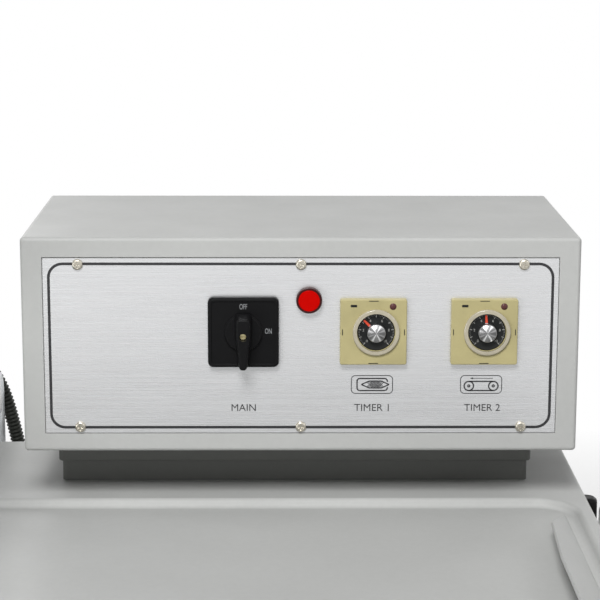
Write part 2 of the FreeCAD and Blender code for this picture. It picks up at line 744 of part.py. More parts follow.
def head_gland():
    """Inlet gland on the rear cover, its spigot passing through the sheet."""
    x, z = panel_x(HEAD_GLAND_X), panel_z(HEAD_GLAND_Z)
    spigot = rod(x, HEAD_REAR - HEAD_WALL - 4, z, Y_AXIS, GLAND_RADIUS * 0.7 - 0.1, HEAD_WALL + 4)
    return gland(x, HEAD_REAR, z, Y_AXIS, GLAND_DOME).fuse(spigot)


def pedestal_box(inset, z0, z1):
    """Rectangular step under the head, standing inset from the pedestal's outline."""
    middle = panel_x(PEDESTAL_SHIFT)
    half = PEDESTAL_WIDTH / 2 - inset
    y0 = HEAD_FRONT + PEDESTAL_SETBACK + inset
    y1 = HEAD_FRONT + PEDESTAL_SETBACK + PEDESTAL_DEPTH - inset
    shape = block(middle - half, middle + half, y0, y1, z0, z1)
    return round_edges(shape, PEDESTAL_CORNER, lambda edge: runs_along(edge, Z_AXIS))


def head_pedestal():
    """Upper step of the pedestal, bolted under the head; its lower edge is rolled to the seam."""
    bottom = DECK_TOP + PLINTH_HEIGHT
    shape = pedestal_box(0, bottom, HEAD_BASE)
    return round_edges(shape, SEAM, lambda edge: edge.BoundBox.ZMax < bottom + 1e-6)


def pedestal_plinth():
    return pedestal_box(PLINTH_INSET, DECK_TOP, DECK_TOP + PLINTH_HEIGHT)


def control_panel():
    x0, x1 = panel_x(-PANEL_WIDTH / 2), panel_x(PANEL_WIDTH / 2)
    z0, z1 = panel_z(PANEL_BOTTOM), panel_z(PANEL_BOTTOM + PANEL_HEIGHT)
    sheet = block(x0, x1, HEAD_FRONT, HEAD_FRONT + PANEL_SHEET, z0, z1)
    holes = [rod(x, HEAD_FRONT, z, Y_AXIS, SCREW_RADIUS + 0.3, PANEL_SHEET)
             for x, z in panel_screw_places()]
    holes.append(rod(panel_x(SWITCH_X), HEAD_FRONT, panel_z(SWITCH_Z), Y_AXIS,
                     SHAFT_RADIUS + 1, PANEL_SHEET))
    holes.append(rod(panel_x(LAMP_X), HEAD_FRONT, panel_z(LAMP_Z), Y_AXIS,
                     LAMP_BARREL_RADIUS + 0.2, PANEL_SHEET))
    half = TIMER_BODY / 2 + 0.2
    for x in TIMER_X:
        holes.append(block(panel_x(x) - half, panel_x(x) + half, HEAD_FRONT,
                           HEAD_FRONT + PANEL_SHEET, panel_z(TIMER_Z) - half,
                           panel_z(TIMER_Z) + half))
    for hole in holes:
        sheet = sheet.cut(hole)
    return sheet


def head_screws():
    screws = [screw_with_cross(x, HEAD_FRONT, z, SCREW_LENGTH) for x, z in panel_screw_places()]
    for x, z in cover_screw_places():
        screw = screw_with_cross(x, 0, z, SCREW_LENGTH)
        screw.rotate(V(x, 0, z), Z_AXIS, 180)
        screw.translate(V(0, HEAD_REAR, 0))
        screws.append(screw)
    return screws


# ---------------------------------------------------------------- power switch
def switch_plate():
    """Square plate with a bevelled edge, a raised rim and a round boss under the lever."""
    x, z = panel_x(SWITCH_X), panel_z(SWITCH_Z)
    half = SWITCH_PLATE / 2
    front = HEAD_FRONT - SWITCH_PLATE_THICK
    corners = rectangle(x - half, x + half, z - half, z + half, SWITCH_PLATE_CORNER)
    body = plate(corners, lambda a, b: V(a, front, b), V(0, SWITCH_PLATE_THICK, 0))
    body = body.makeChamfer(1.2, [edge for edge in body.Edges
                                  if edge.BoundBox.YMax < front + 1e-6])
    inner = half - SWITCH_RIM
    corners = rectangle(x - inner, x + inner, z - inner, z + inner,
                        SWITCH_PLATE_CORNER - SWITCH_RIM / 2)
    field = plate(corners, lambda a, b: V(a, front, b), V(0, SWITCH_RIM_DEPTH, 0))
    floor = front + SWITCH_RIM_DEPTH
    boss = rod(x, floor - SWITCH_RING_HEIGHT, z, Y_AXIS, SWITCH_RING_RADIUS, SWITCH_RING_HEIGHT)
    boss = boss.makeChamfer(0.8, [edge for edge in boss.Edges
                                  if edge.BoundBox.YMax < floor - SWITCH_RING_HEIGHT + 1e-6])
    hole = rod(x, front - SWITCH_RING_HEIGHT, z, Y_AXIS, SHAFT_RADIUS + RUNNING_FIT,
               SWITCH_PLATE_THICK + SWITCH_RING_HEIGHT)
    return body.cut(field).fuse(boss).cut(hole)


def lever_back():
    return HEAD_FRONT - SWITCH_PLATE_THICK + SWITCH_RIM_DEPTH - SWITCH_RING_HEIGHT - LEVER_GAP


def shaft_front():
    return lever_back() - LEVER_HEIGHT + LEVER_SCREW_SEAT + SHAFT_STEP


def switch_knob():
    """Lever knob: blunt end at the pointer, long tapering tail, sides drawn in to the front."""
    x, z = panel_x(SWITCH_X), panel_z(SWITCH_Z)
    back = lever_back()
    sections = []
    for y, shrink in ((back, 0), (back - LEVER_HEIGHT, LEVER_DRAFT)):
        half = LEVER_WIDTH / 2 - shrink
        tip = LEVER_TIP_WIDTH / 2 - shrink
        corners = [
            (x - half, z + LEVER_TOP - shrink, 3.0),
            (x + half, z + LEVER_TOP - shrink, 3.0),
            (x + half, z, 8.0),
            (x + tip, z - LEVER_TAIL + shrink, tip * 0.9),
            (x - tip, z - LEVER_TAIL + shrink, tip * 0.9),
            (x - half, z, 8.0),
        ]
        sections.append(outline([(V(a, y, b), radius) for a, b, radius in corners]))
    lever = Part.makeLoft(sections, True, True)
    front = back - LEVER_HEIGHT
    lever = round_edges(lever, LEVER_EDGE, lambda edge: edge.BoundBox.YMax < front + 1e-6)
    seat = rod(x, front, z, Y_AXIS, LEVER_SCREW_RADIUS + LEVER_GAP, LEVER_SCREW_SEAT)
    shank = rod(x, front, z, Y_AXIS, SHAFT_STEP_RADIUS, LEVER_HEIGHT)
    socket = rod(x, shaft_front(), z, Y_AXIS, SHAFT_RADIUS, back - shaft_front())
    return lever.cut(seat).cut(shank).cut(socket)


def switch_shaft():
    """Shaft through panel and plate; a slotted screw head in its end holds the knob."""
    x, z = panel_x(SWITCH_X), panel_z(SWITCH_Z)
    seat = lever_back() - LEVER_HEIGHT + LEVER_SCREW_SEAT
    top = seat - LEVER_SCREW_HEAD
    head = rod(x, top, z, Y_AXIS, LEVER_SCREW_RADIUS, LEVER_SCREW_HEAD)
    slot = block(x - LEVER_SCREW_RADIUS, x + LEVER_SCREW_RADIUS, top, top + SCREW_SLOT,
                 z - SCREW_SLOT / 2, z + SCREW_SLOT / 2)
    step = rod(x, seat, z, Y_AXIS, SHAFT_STEP_RADIUS, shaft_front() - seat)
    end = HEAD_FRONT + PANEL_SHEET + SHAFT_IN_BODY
    shaft = rod(x, shaft_front(), z, Y_AXIS, SHAFT_RADIUS, end - shaft_front())
    return head.cut(slot).fuse(step).fuse(shaft)


def switch_body():
    """Stacked contact chambers behind the panel."""
    x, z = panel_x(SWITCH_X), panel_z(SWITCH_Z)
    half = SWITCH_BODY / 2
    start = HEAD_FRONT + PANEL_SHEET
    body = block(x - half, x + half, start, start + SWITCH_BODY_DEPTH, z - half, z + half)
    chamber = SWITCH_BODY_DEPTH / SWITCH_CHAMBERS
    for number in range(1, SWITCH_CHAMBERS):
        y = start + number * chamber
        body = body.cut(ring(x - half, x + half, z - half, z + half, 2.0, y - 1, y + 1))
    return body.cut(rod(x, start, z, Y_AXIS, SHAFT_RADIUS + RUNNING_FIT, SHAFT_IN_BODY + 0.5))


# ---------------------------------------------------------------- pilot lamp
def pilot_lamp_body():
    """Ring, threaded barrel through the panel, and the nut behind it."""
    x, z = panel_x(LAMP_X), panel_z(LAMP_Z)
    front = HEAD_FRONT - LAMP_RING_HEIGHT
    rim = rod(x, front, z, Y_AXIS, LAMP_RING_RADIUS, LAMP_RING_HEIGHT)
    rim = round_edges(rim, LAMP_RING_EDGE, lambda edge: edge.BoundBox.YMax < front + 1e-6)
    barrel = rod(x, HEAD_FRONT, z, Y_AXIS, LAMP_BARREL_RADIUS, LAMP_BARREL_LENGTH)
    nut = hexagon(x, HEAD_FRONT + PANEL_SHEET, z, Y_AXIS, LAMP_NUT_RADIUS, LAMP_NUT_HEIGHT)
    back = HEAD_FRONT - LAMP_LENS_HEIGHT + LAMP_LENS_DEPTH
    seat = rod(x, front, z, Y_AXIS, LAMP_LENS_RADIUS + RUNNING_FIT, back - front)
    return rim.cut(seat).fuse(barrel).fuse(nut)


def pilot_lamp_lens():
    x, z = panel_x(LAMP_X), panel_z(LAMP_Z)
    front = HEAD_FRONT - LAMP_LENS_HEIGHT
    lens = rod(x, front, z, Y_AXIS, LAMP_LENS_RADIUS, LAMP_LENS_DEPTH)
    return round_edges(lens, LAMP_LENS_EDGE, lambda edge: edge.BoundBox.YMax < front + 1e-6)


# ---------------------------------------------------------------- timers
def dial_x(x):
    return panel_x(x + DIAL_SHIFT)


def timer_case(x):
    """Square face with a round recess for the dial; the body passes through the panel."""
    cx, cz = panel_x(x), panel_z(TIMER_Z)
    half = TIMER_FACE / 2
    front = HEAD_FRONT - TIMER_PROUD
    corners = rectangle(cx - half, cx + half, cz - half, cz + half, TIMER_CORNER)
    face = plate(corners, lambda a, b: V(a, front, b), V(0, TIMER_PROUD, 0))
    face = round_edges(face, 0.8, lambda edge: edge.BoundBox.YMax < front + 1e-6)
    half = TIMER_BODY / 2
    body = block(cx - half, cx + half, HEAD_FRONT, HEAD_FRONT + TIMER_BODY_DEPTH,
                 cz - half, cz + half)
    recess = rod(dial_x(x), front, cz, Y_AXIS, DIAL_RADIUS, DIAL_RECESS)
    return face.fuse(body).cut(recess)


def timer_bezel(x):
    """Clear ring standing round the dial, its outer edge rounded."""
    cx, cz = dial_x(x), panel_z(TIMER_Z)
    front = HEAD_FRONT - TIMER_PROUD - BEZEL_HEIGHT
    ring_solid = rod(cx, front, cz, Y_AXIS, BEZEL_RADIUS, BEZEL_HEIGHT)
    ring_solid = round_edges(ring_solid, 1.0, lambda edge: edge.BoundBox.YMax < front + 1e-6)
    return ring_solid.cut(rod(cx, front, cz, Y_AXIS, DIAL_RADIUS, BEZEL_HEIGHT))


def timer_dial(x, pointer_angle):
    """Setting knob: a turned cap with a flat tapering pointer under it."""
    cx, cz = dial_x(x), panel_z(TIMER_Z)
    back = HEAD_FRONT - TIMER_PROUD + DIAL_RECESS - DIAL_GAP
    cap = rod(cx, back - DIAL_CAP_HEIGHT, cz, Y_AXIS, DIAL_CAP_RADIUS, DIAL_CAP_HEIGHT)
    cap = round_edges(cap, 0.8,
                      lambda edge: edge.BoundBox.YMax < back - DIAL_CAP_HEIGHT + 1e-6)
    half = POINTER_WIDTH / 2
    tip = POINTER_TIP_WIDTH / 2
    corners = [(-half, 0, 0), (half, 0, 0), (tip, POINTER_LENGTH, tip / 2),
               (-tip, POINTER_LENGTH, tip / 2)]
    pointer = plate(corners, lambda a, b: V(cx + a, back - POINTER_THICK, cz + b),
                    V(0, POINTER_THICK, 0))
    pointer.rotate(V(cx, 0, cz), Y_AXIS, pointer_angle)
    return cap.fuse(pointer)


def timer_sockets():
    """Plug-in sockets on the backs of the two timers."""
    sockets = []
    start = HEAD_FRONT + TIMER_BODY_DEPTH
    half = TIMER_BODY / 2
    for x in TIMER_X:
        cx, cz = panel_x(x), panel_z(TIMER_Z)
        base = block(cx - half, cx + half, start, start + TIMER_SOCKET_DEPTH, cz - half, cz + half)
        step = TIMER_SOCKET_STEP
        for side in (-1, 1):
            z = cz + side * half
            cut = block(cx - half, cx + half, start + TIMER_SOCKET_DEPTH / 2,
                        start + TIMER_SOCKET_DEPTH, min(z, z - side * step), max(z, z - side * step))
            base = base.cut(cut)
        sockets.append(base)
    return sockets


# ---------------------------------------------------------------- inside the head
def contactor():
    width, depth, height = CONTACTOR
    x, y = panel_x(CONTACTOR_AT[0]), HEAD_FRONT + CONTACTOR_AT[1]
    floor = HEAD_BASE + HEAD_WALL
    base = block(x - width / 2, x + width / 2, y, y + depth, floor, floor + height * 0.6)
    top = block(x - width / 2, x + width / 2, y + depth * 0.2, y + depth * 0.8,
                floor, floor + height)
    return base.fuse(top)


def transformer():
    """Laminated core on the head's floor with the coil standing out of both faces."""
    width, depth, height = TRANSFORMER
    x, y = panel_x(TRANSFORMER_AT[0]), HEAD_FRONT + TRANSFORMER_AT[1]
    floor = HEAD_BASE + HEAD_WALL
    core = block(x - width / 2, x + width / 2, y - depth / 4, y + depth / 4, floor, floor + height)
    reach = depth / 4 + TRANSFORMER_COIL_BULGE
    coil = block(x - width * 0.28, x + width * 0.28, y - reach, y + reach,
                 floor + height * 0.18, floor + height * 0.82)
    coil = round_edges(coil, 4.0, lambda edge: runs_along(edge, Z_AXIS))
    return core.fuse(coil)


# ---------------------------------------------------------------- conveyor
def conveyor_sides():
    top = RAIL_TOP + CONVEYOR_PLATE_TOP
    radius = CONVEYOR_END_RADIUS
    sides = []
    for y in (CONVEYOR_FRONT, CONVEYOR_REAR - CONVEYOR_PLATE):
        corners = [(CONVEYOR_LEFT, RAIL_TOP, radius), (CONVEYOR_RIGHT, RAIL_TOP, radius),
                   (CONVEYOR_RIGHT, top, radius), (CONVEYOR_LEFT, top, radius)]
        side = plate(corners, lambda a, b: V(a, y, b), V(0, CONVEYOR_PLATE, 0))
        for x in (DRIVE_X, TAIL_ROLLER_X):
            side = side.cut(rod(x, y, ROLLER_Z, Y_AXIS, ROLLER_SHAFT_RADIUS + RUNNING_FIT,
                                CONVEYOR_PLATE))
        sides.append(side)
    return sides


def conveyor_bed():
    """Slider bed: an inverted channel between the side plates, just under the belt."""
    y0, y1 = CONVEYOR_FRONT + CONVEYOR_PLATE, CONVEYOR_REAR - CONVEYOR_PLATE
    reach = BELT_INNER + BED_ROLLER_GAP
    top = ROLLER_Z + BELT_INNER - BELT_GAP
    outer = block(DRIVE_X + reach, TAIL_ROLLER_X - reach, y0, y1, top - BED_FLANGE, top)
    inner = block(DRIVE_X + reach, TAIL_ROLLER_X - reach, y0 + BED_SHEET, y1 - BED_SHEET,
                  top - BED_FLANGE, top - BED_SHEET)
    return outer.cut(inner)


def stadium(radius, y0, y1):
    """Solid loop outline round both rollers' axes."""
    left = rod(DRIVE_X, y0, ROLLER_Z, Y_AXIS, radius, y1 - y0)
    right = rod(TAIL_ROLLER_X, y0, ROLLER_Z, Y_AXIS, radius, y1 - y0)
    middle = block(DRIVE_X, TAIL_ROLLER_X, y0, y1, ROLLER_Z - radius, ROLLER_Z + radius)
    return left.fuse(right).fuse(middle).removeSplitter()


def conveyor_belt():
    y0 = CONVEYOR_FRONT + CONVEYOR_PLATE + BELT_EDGE_GAP
    y1 = CONVEYOR_REAR - CONVEYOR_PLATE - BELT_EDGE_GAP
    return stadium(BELT_INNER + BELT_THICK, y0, y1).cut(stadium(BELT_INNER, y0, y1))


def conveyor_roller(x, rear_stub):
    """Roller with its shaft: stubs run through the side plates, the rear one by rear_stub."""
    y0 = CONVEYOR_FRONT + CONVEYOR_PLATE + ROLLER_END_GAP
    y1 = CONVEYOR_REAR - CONVEYOR_PLATE - ROLLER_END_GAP
    drum = rod(x, y0, ROLLER_Z, Y_AXIS, ROLLER_RADIUS, y1 - y0)
    start = CONVEYOR_FRONT - ROLLER_SHAFT_STUB
    end = CONVEYOR_REAR + rear_stub
    return drum.fuse(rod(x, start, ROLLER_Z, Y_AXIS, ROLLER_SHAFT_RADIUS, end - start))


def gear_motor():
    """Right-angle gearbox on the drive roller's shaft; ribbed motor and fan cover beside it."""
    half = GEARBOX_SIZE / 2
    y0 = CONVEYOR_REAR
    corners = rectangle(DRIVE_X - half, DRIVE_X + half, ROLLER_Z - half, ROLLER_Z + half,
                        GEARBOX_CORNER)
    box = plate(corners, lambda a, b: V(a, y0, b), V(0, GEARBOX_DEPTH, 0))
    box = round_edges(box, 3.0, lambda edge: edge.BoundBox.YMin > y0 + GEARBOX_DEPTH - 1e-6)
    box = box.cut(rod(DRIVE_X, y0, ROLLER_Z, Y_AXIS, ROLLER_SHAFT_RADIUS + RUNNING_FIT,
                      GEARBOX_DEPTH - 8))
    start = DRIVE_X + half
    y = y0 + GEARBOX_DEPTH / 2
    radius = MOTOR_RADIUS - MOTOR_RIB_HEIGHT
    motor = rod(start, y, ROLLER_Z, X_AXIS, radius, MOTOR_LENGTH - FAN_COVER)
    flange = rod(start, y, ROLLER_Z, X_AXIS, MOTOR_RADIUS, 6.0)
    shape = box.fuse(motor).fuse(flange)
    pitch = (MOTOR_LENGTH - FAN_COVER - 24.0) / (MOTOR_RIBS - 1)
    for number in range(MOTOR_RIBS):
        shape = shape.fuse(rod(start + 14.0 + number * pitch, y, ROLLER_Z, X_AXIS,
                               MOTOR_RADIUS, 4.0))
    cover = rod(start + MOTOR_LENGTH - FAN_COVER, y, ROLLER_Z, X_AXIS, MOTOR_RADIUS, FAN_COVER)
    end = start + MOTOR_LENGTH
    cover = round_edges(cover, 5.0, lambda edge: edge.BoundBox.XMin > end - 1e-6)
    return shape.fuse(cover)


# ---------------------------------------------------------------- lower jaw
def pad_box(x0, x1, y0, y1, z0, z1, grow):
    return block(x0 - grow, x1 + grow, y0 - grow, y1 + grow, z0, z1)


def pad_blocks(z0, z1, grow):
    """Front and side strips of the jaw's L, meeting square at the corner."""
    inset = (JAW_WIDTH - PAD_WIDTH) / 2
    x1 = JAW_RIGHT - inset
    y0 = JAW_FRONT + inset
    front = pad_box(JAW_LEFT + PAD_END, x1, y0, y0 + PAD_WIDTH, z0, z1, grow)
    side = pad_box(x1 - PAD_WIDTH, x1, y0 + PAD_WIDTH + grow, PAD_REAR, z0, z1, grow)
    return front, side.cut(front)


def lower_jaw():
    top = RAIL_TOP + JAW_TOP
    front = block(JAW_LEFT, JAW_RIGHT, JAW_FRONT, JAW_FRONT + JAW_WIDTH, RAIL_TOP, top)
    side = block(JAW_RIGHT - JAW_WIDTH, JAW_RIGHT, JAW_FRONT + JAW_WIDTH, DECK_REAR,
                 RAIL_TOP, top)
    beams = []
    for beam in (front, side):
        for slot in pad_blocks(top - PAD_SEAT, top, 0.2):
            beam = beam.cut(slot)
        beams.append(beam)
    return beams


def jaw_pads():
    bottom = RAIL_TOP + JAW_TOP - PAD_SEAT
    pads = []
    for pad in pad_blocks(bottom, PAD_TOP, 0):
        pads.append(round_edges(pad, 1.0, lambda edge: edge.BoundBox.ZMin > PAD_TOP - 1e-6
                                and edge.Length > 2 * PAD_WIDTH))
    return pads


# ---------------------------------------------------------------- sealing arm
def arm_hub():
    """Hub tube, two ribs, cross tube and tail lever, welded into one piece."""
    y, z = PIVOT.y, PIVOT.z
    hub = rod(HUB_LEFT, y, z, X_AXIS, HUB_RADIUS, HUB_RIGHT - HUB_LEFT)
    front = y - ROOT_HEIGHT - LIMB / 2
    cross = block(HUB_LEFT, LIMB_X + LIMB / 2, front, front + LIMB, LIMB_Z, LIMB_Z + LIMB)
    cross = round_edges(cross, LIMB_CORNER, lambda edge: runs_along(edge, X_AXIS))
    shape = hub.fuse(cross)
    low = LIMB_Z + LIMB_CORNER
    high = LIMB_Z + LIMB - LIMB_CORNER
    for x in ROOT_RIB_X:
        corners = [(front + LIMB - 1, low, 0), (y, z - HUB_RADIUS + 4, 0),
                   (y + 4, z + HUB_RADIUS - 4, 0), (front + LIMB - 1, high, 0)]
        shape = shape.fuse(plate(corners, lambda a, b: V(x, a, b), X_AXIS * ROOT_RIB))
    shape = shape.fuse(arm_gland_lug()).fuse(tail_lever())
    return shape.cut(rod(HUB_LEFT, y, z, X_AXIS, PIVOT_SHAFT_RADIUS + RUNNING_FIT,
                         HUB_RIGHT - HUB_LEFT))


def lowered(point):
    """A place on the raised arm, carried back to the lowered arm."""
    turn = FreeCAD.Placement(V(0, 0, 0), FreeCAD.Rotation(X_AXIS, ARM_OPEN), PIVOT)
    return turn.multVec(point)


def conduit_top():
    return V(*CONDUIT_LINE[-1])


def arm_gland_lug():
    """Ear on the right-hand rib that carries the conduit's gland."""
    seat = lowered(conduit_top())
    y, z = PIVOT.y, PIVOT.z
    x = ROOT_RIB_X[1]
    reach = GLAND_RADIUS + 3
    ear = rod(x, seat.y, seat.z, X_AXIS, reach, ROOT_RIB)
    away = (V(0, seat.y - y, seat.z - z)).normalize()
    side = V(0, -away.z, away.y) * reach
    hub_point = V(x, y, z) + away * (PIVOT_SHAFT_RADIUS + 2)
    seat_point = V(x, seat.y, seat.z)
    points = [hub_point + side, seat_point + side, seat_point - side, hub_point - side,
              hub_point + side]
    neck = Part.Face(Part.makePolygon(points)).extrude(X_AXIS * ROOT_RIB)
    return ear.fuse(neck)


def tail_end():
    """Hole for the spring's hook, on the lowered arm."""
    angle = math.radians(ARM_OPEN / 2)
    return V(TAIL_X, PIVOT.y + TAIL_LENGTH * math.sin(angle),
             PIVOT.z - TAIL_LENGTH * math.cos(angle))


def tail_lever():
    end = tail_end()
    away = (end - V(TAIL_X, PIVOT.y, PIVOT.z)).normalize()
    side = V(0, -away.z, away.y)
    start = V(TAIL_X, PIVOT.y, PIVOT.z) + away * (HUB_RADIUS - 4)
    broad, narrow = side * HUB_RADIUS * 0.9, side * (TAIL_WIDTH / 2)
    points = [start + broad, end + narrow, end - narrow, start - broad, start + broad]
    lever = Part.Face(Part.makePolygon(points)).extrude(X_AXIS * TAIL_THICK)
    lever = lever.fuse(rod(end.x, end.y, end.z, X_AXIS, TAIL_WIDTH / 2, TAIL_THICK))
    return lever.cut(rod(end.x, end.y, end.z, X_AXIS, SPRING_WIRE * 1.5, TAIL_THICK))


def arm_side_limb():
    rear = PIVOT.y - ROOT_HEIGHT - LIMB / 2
    front = LIMB_Y - LIMB / 2
    limb = block(LIMB_X - LIMB / 2, LIMB_X + LIMB / 2, front, rear, LIMB_Z, LIMB_Z + LIMB)
    return round_edges(limb, LIMB_CORNER, lambda edge: runs_along(edge, Y_AXIS))


def arm_front_limb():
    front = LIMB_Y - LIMB / 2
    limb = block(LIMB_LEFT, LIMB_X - LIMB / 2, front, front + LIMB, LIMB_Z, LIMB_Z + LIMB)
    return round_edges(limb, LIMB_CORNER, lambda edge: runs_along(edge, X_AXIS))


def bar_profile(place):
    """Heated bar in section: a square body narrowing to the sealing edge."""
    half, nose = BAR_WIDTH / 2, BAR_NOSE / 2
    low = PAD_TOP + BAR_GAP
    corners = [(-half, LIMB_Z, 0), (half, LIMB_Z, 0), (half, low + BAR_SHOULDER, 0),
               (nose, low, 0), (-nose, low, 0), (-half, low + BAR_SHOULDER, 0)]
    return Part.Face(outline([(place(a, b), radius) for a, b, radius in corners]))


def seal_bars():
    half = BAR_WIDTH / 2
    front = bar_profile(lambda a, b: V(JAW_LEFT + PAD_END, LIMB_Y + a, b))
    front = front.extrude(V(LIMB_X + half - JAW_LEFT - PAD_END, 0, 0))
    side = bar_profile(lambda a, b: V(LIMB_X + a, LIMB_Y + half, b))
    side = side.extrude(V(0, PAD_REAR - LIMB_Y - half, 0))
    return [front, side]


def arm_handle():
    """Two posts standing forward from the front limb."""
    start = LIMB_Y - LIMB / 2
    z = LIMB_Z + LIMB / 2
    return [rod(x, start - HANDLE_REACH, z, Y_AXIS, HANDLE_POST_RADIUS, HANDLE_REACH)
            for x in HANDLE_X]


def handle_grip():
    start = HANDLE_X[0] - GRIP_OVERHANG
    length = HANDLE_X[1] - HANDLE_X[0] + 2 * GRIP_OVERHANG
    y = LIMB_Y - LIMB / 2 - HANDLE_REACH
    z = LIMB_Z + LIMB / 2
    grip = rod(start, y, z, X_AXIS, GRIP_RADIUS, length)
    grip = round_edges(grip, GRIP_EDGE, lambda edge: not runs_along(edge, X_AXIS))
    for x in HANDLE_X:
        grip = grip.cut(rod(x, y, z, Y_AXIS, HANDLE_POST_RADIUS, GRIP_RADIUS))
    return grip


def keepers():
    """Steel discs on studs and tabs, each lying just over its magnet when the arm is down."""
    pieces = []
    low = magnet_top() + KEEPER_GAP
    tab_z = LIMB_Z + LIMB_CORNER
    front = LIMB_Y - LIMB / 2
    for x in MAGNET_X:
        disc = rod(x, MAGNET_Y, low, Z_AXIS, KEEPER_RADIUS, KEEPER_THICK)
        stud = rod(x, MAGNET_Y, low, Z_AXIS, KEEPER_STUD_RADIUS, tab_z + KEEPER_TAB - low)
        tab = block(x - KEEPER_RADIUS, x + KEEPER_RADIUS, MAGNET_Y - KEEPER_RADIUS, front,
                    tab_z, tab_z + KEEPER_TAB)
        tab = round_edges(tab, 8.0, lambda edge: runs_along(edge, Z_AXIS)
                          and edge.BoundBox.YMax < front - 1)
        pieces.append(disc.fuse(stud).fuse(tab))
    return pieces


def arm_gland():
    """Gland in the ear, its mouth facing the operator's right."""
    seat = lowered(conduit_top())
    tail = seat.x - GLAND_HEX - GLAND_DOME
    return gland(tail, seat.y, seat.z, X_AXIS, 0.5 * GLAND_DOME)


# ---------------------------------------------------------------- hinge and spring
def pivot_brackets():
    """Upright plates with bearing bosses, standing on feet bolted to the rear rail."""
    pieces = []
    foot_front = DECK_REAR + SHEET
    low = RAIL_TOP - BRACKET_BOTTOM
    for x, inward in ((BRACKET_RIGHT - BRACKET_THICK, -1), (BRACKET_LEFT, 1)):
        head = rod(x, PIVOT.y, PIVOT.z, X_AXIS, BRACKET_RADIUS, BRACKET_THICK)
        upright = block(x, x + BRACKET_THICK, foot_front, PIVOT.y + BRACKET_RADIUS,
                        low, PIVOT.z)
        gap_front = block(x, x + BRACKET_THICK, foot_front, PIVOT.y - BRACKET_RADIUS,
                          RAIL_TOP, PIVOT.z)
        slope = plate([(PIVOT.y + BRACKET_RADIUS, low - 1, 0),
                       (PIVOT.y + BRACKET_RADIUS, RAIL_TOP, 0),
                       (foot_front + BRACKET_FOOT_THICK + 14, low - 1, 0)],
                      lambda a, b: V(x, a, b), X_AXIS * BRACKET_THICK)
        inner = x if inward < 0 else x + BRACKET_THICK
        boss = rod(inner, PIVOT.y, PIVOT.z, X_AXIS * inward, BOSS_RADIUS, BOSS_LENGTH)
        foot_x = x if inward > 0 else x + BRACKET_THICK - BRACKET_FOOT_WIDTH
        foot = block(foot_x, foot_x + BRACKET_FOOT_WIDTH, foot_front,
                     foot_front + BRACKET_FOOT_THICK, low, RAIL_TOP)
        shape = upright.cut(gap_front).cut(slope).fuse(head).fuse(boss).fuse(foot)
        bore_start = min(x, x + inward * BOSS_LENGTH)
        bore = rod(bore_start, PIVOT.y, PIVOT.z, X_AXIS, PIVOT_SHAFT_RADIUS,
                   BRACKET_THICK + BOSS_LENGTH)
        pieces.append(shape.cut(bore).removeSplitter())
    return pieces


def pivot_shaft():
    return rod(BRACKET_LEFT, PIVOT.y, PIVOT.z, X_AXIS, PIVOT_SHAFT_RADIUS,
               BRACKET_RIGHT - BRACKET_LEFT)


def spring_line():
    """Hook points at rest: on the frame's anchor post and on the raised tail lever."""
    far = tail_end()
    turn = FreeCAD.Placement(V(0, 0, 0), FreeCAD.Rotation(X_AXIS, -ARM_OPEN), PIVOT)
    end = turn.multVec(far)
    return V(TAIL_X + TAIL_THICK / 2, ANCHOR_Y, end.z), V(TAIL_X + TAIL_THICK / 2, end.y, end.z)


def spring_anchor():
    start = spring_line()[0]
    post = rod(start.x, start.y, RAIL_TOP, Z_AXIS, ANCHOR_RADIUS, start.z - RAIL_TOP + 12)
    post = round_edges(post, 1.5, lambda edge: edge.BoundBox.ZMin > start.z + 11)
    groove_z = start.z - SPRING_WIRE
    groove = rod(start.x, start.y, groove_z, Z_AXIS, ANCHOR_RADIUS, 2 * SPRING_WIRE)
    core = rod(start.x, start.y, groove_z, Z_AXIS, ANCHOR_RADIUS - 1.5, 2 * SPRING_WIRE)
    return post.cut(groove.cut(core))


def return_spring():
    """Body of the extension spring, between its two hooks."""
    start, end = spring_line()
    y0 = start.y + ANCHOR_RADIUS + SPRING_EYE_GAP
    y1 = end.y - TAIL_WIDTH / 2 - SPRING_EYE_GAP
    body = rod(start.x, y0, start.z, Y_AXIS, SPRING_RADIUS, y1 - y0)
    hook = SPRING_WIRE
    near = rod(start.x, start.y + ANCHOR_RADIUS + 0.3, start.z, Y_AXIS, hook,
               y0 - start.y - ANCHOR_RADIUS - 0.3)
    far = rod(end.x, y1, end.z, Y_AXIS, hook, end.y - TAIL_WIDTH / 2 - 0.3 - y1)
    return body.fuse(near).fuse(far)


# ---------------------------------------------------------------- magnets
def magnet_top():
    return RAIL_TOP + MAGNET_SHELF_HEIGHT + MAGNET_HEIGHT


def magnets():
    """Round holding magnets, each on an angle bolted to the front rail."""
    pieces = []
    face = JAW_FRONT - SHEET
    shelf_z = RAIL_TOP + MAGNET_SHELF_HEIGHT
    for x in MAGNET_X:
        pot = rod(x, MAGNET_Y, shelf_z, Z_AXIS, MAGNET_RADIUS, MAGNET_HEIGHT)
        shelf = block(x - MAGNET_RADIUS, x + MAGNET_RADIUS, MAGNET_Y - MAGNET_RADIUS, face,
                      shelf_z - MAGNET_SHELF, shelf_z)
        shelf = round_edges(shelf, 8.0, lambda edge: runs_along(edge, Z_AXIS)
                            and edge.BoundBox.YMax < face - 1)
        leg = block(x - MAGNET_RADIUS, x + MAGNET_RADIUS, face - MAGNET_SHELF, face,
                    UPPER_Z, shelf_z)
        pieces.append(pot.fuse(shelf).fuse(leg))
    return pieces


# ---------------------------------------------------------------- film cradle
def cradle_posts():
    return [tube(END_X, y, LEG_Z, Z_AXIS, POST_HEIGHT) for y in (-RAIL_Y, RAIL_Y)]


def cradle_inner():
    return RAIL_Y - TUBE / 2 - CRADLE_PLATE


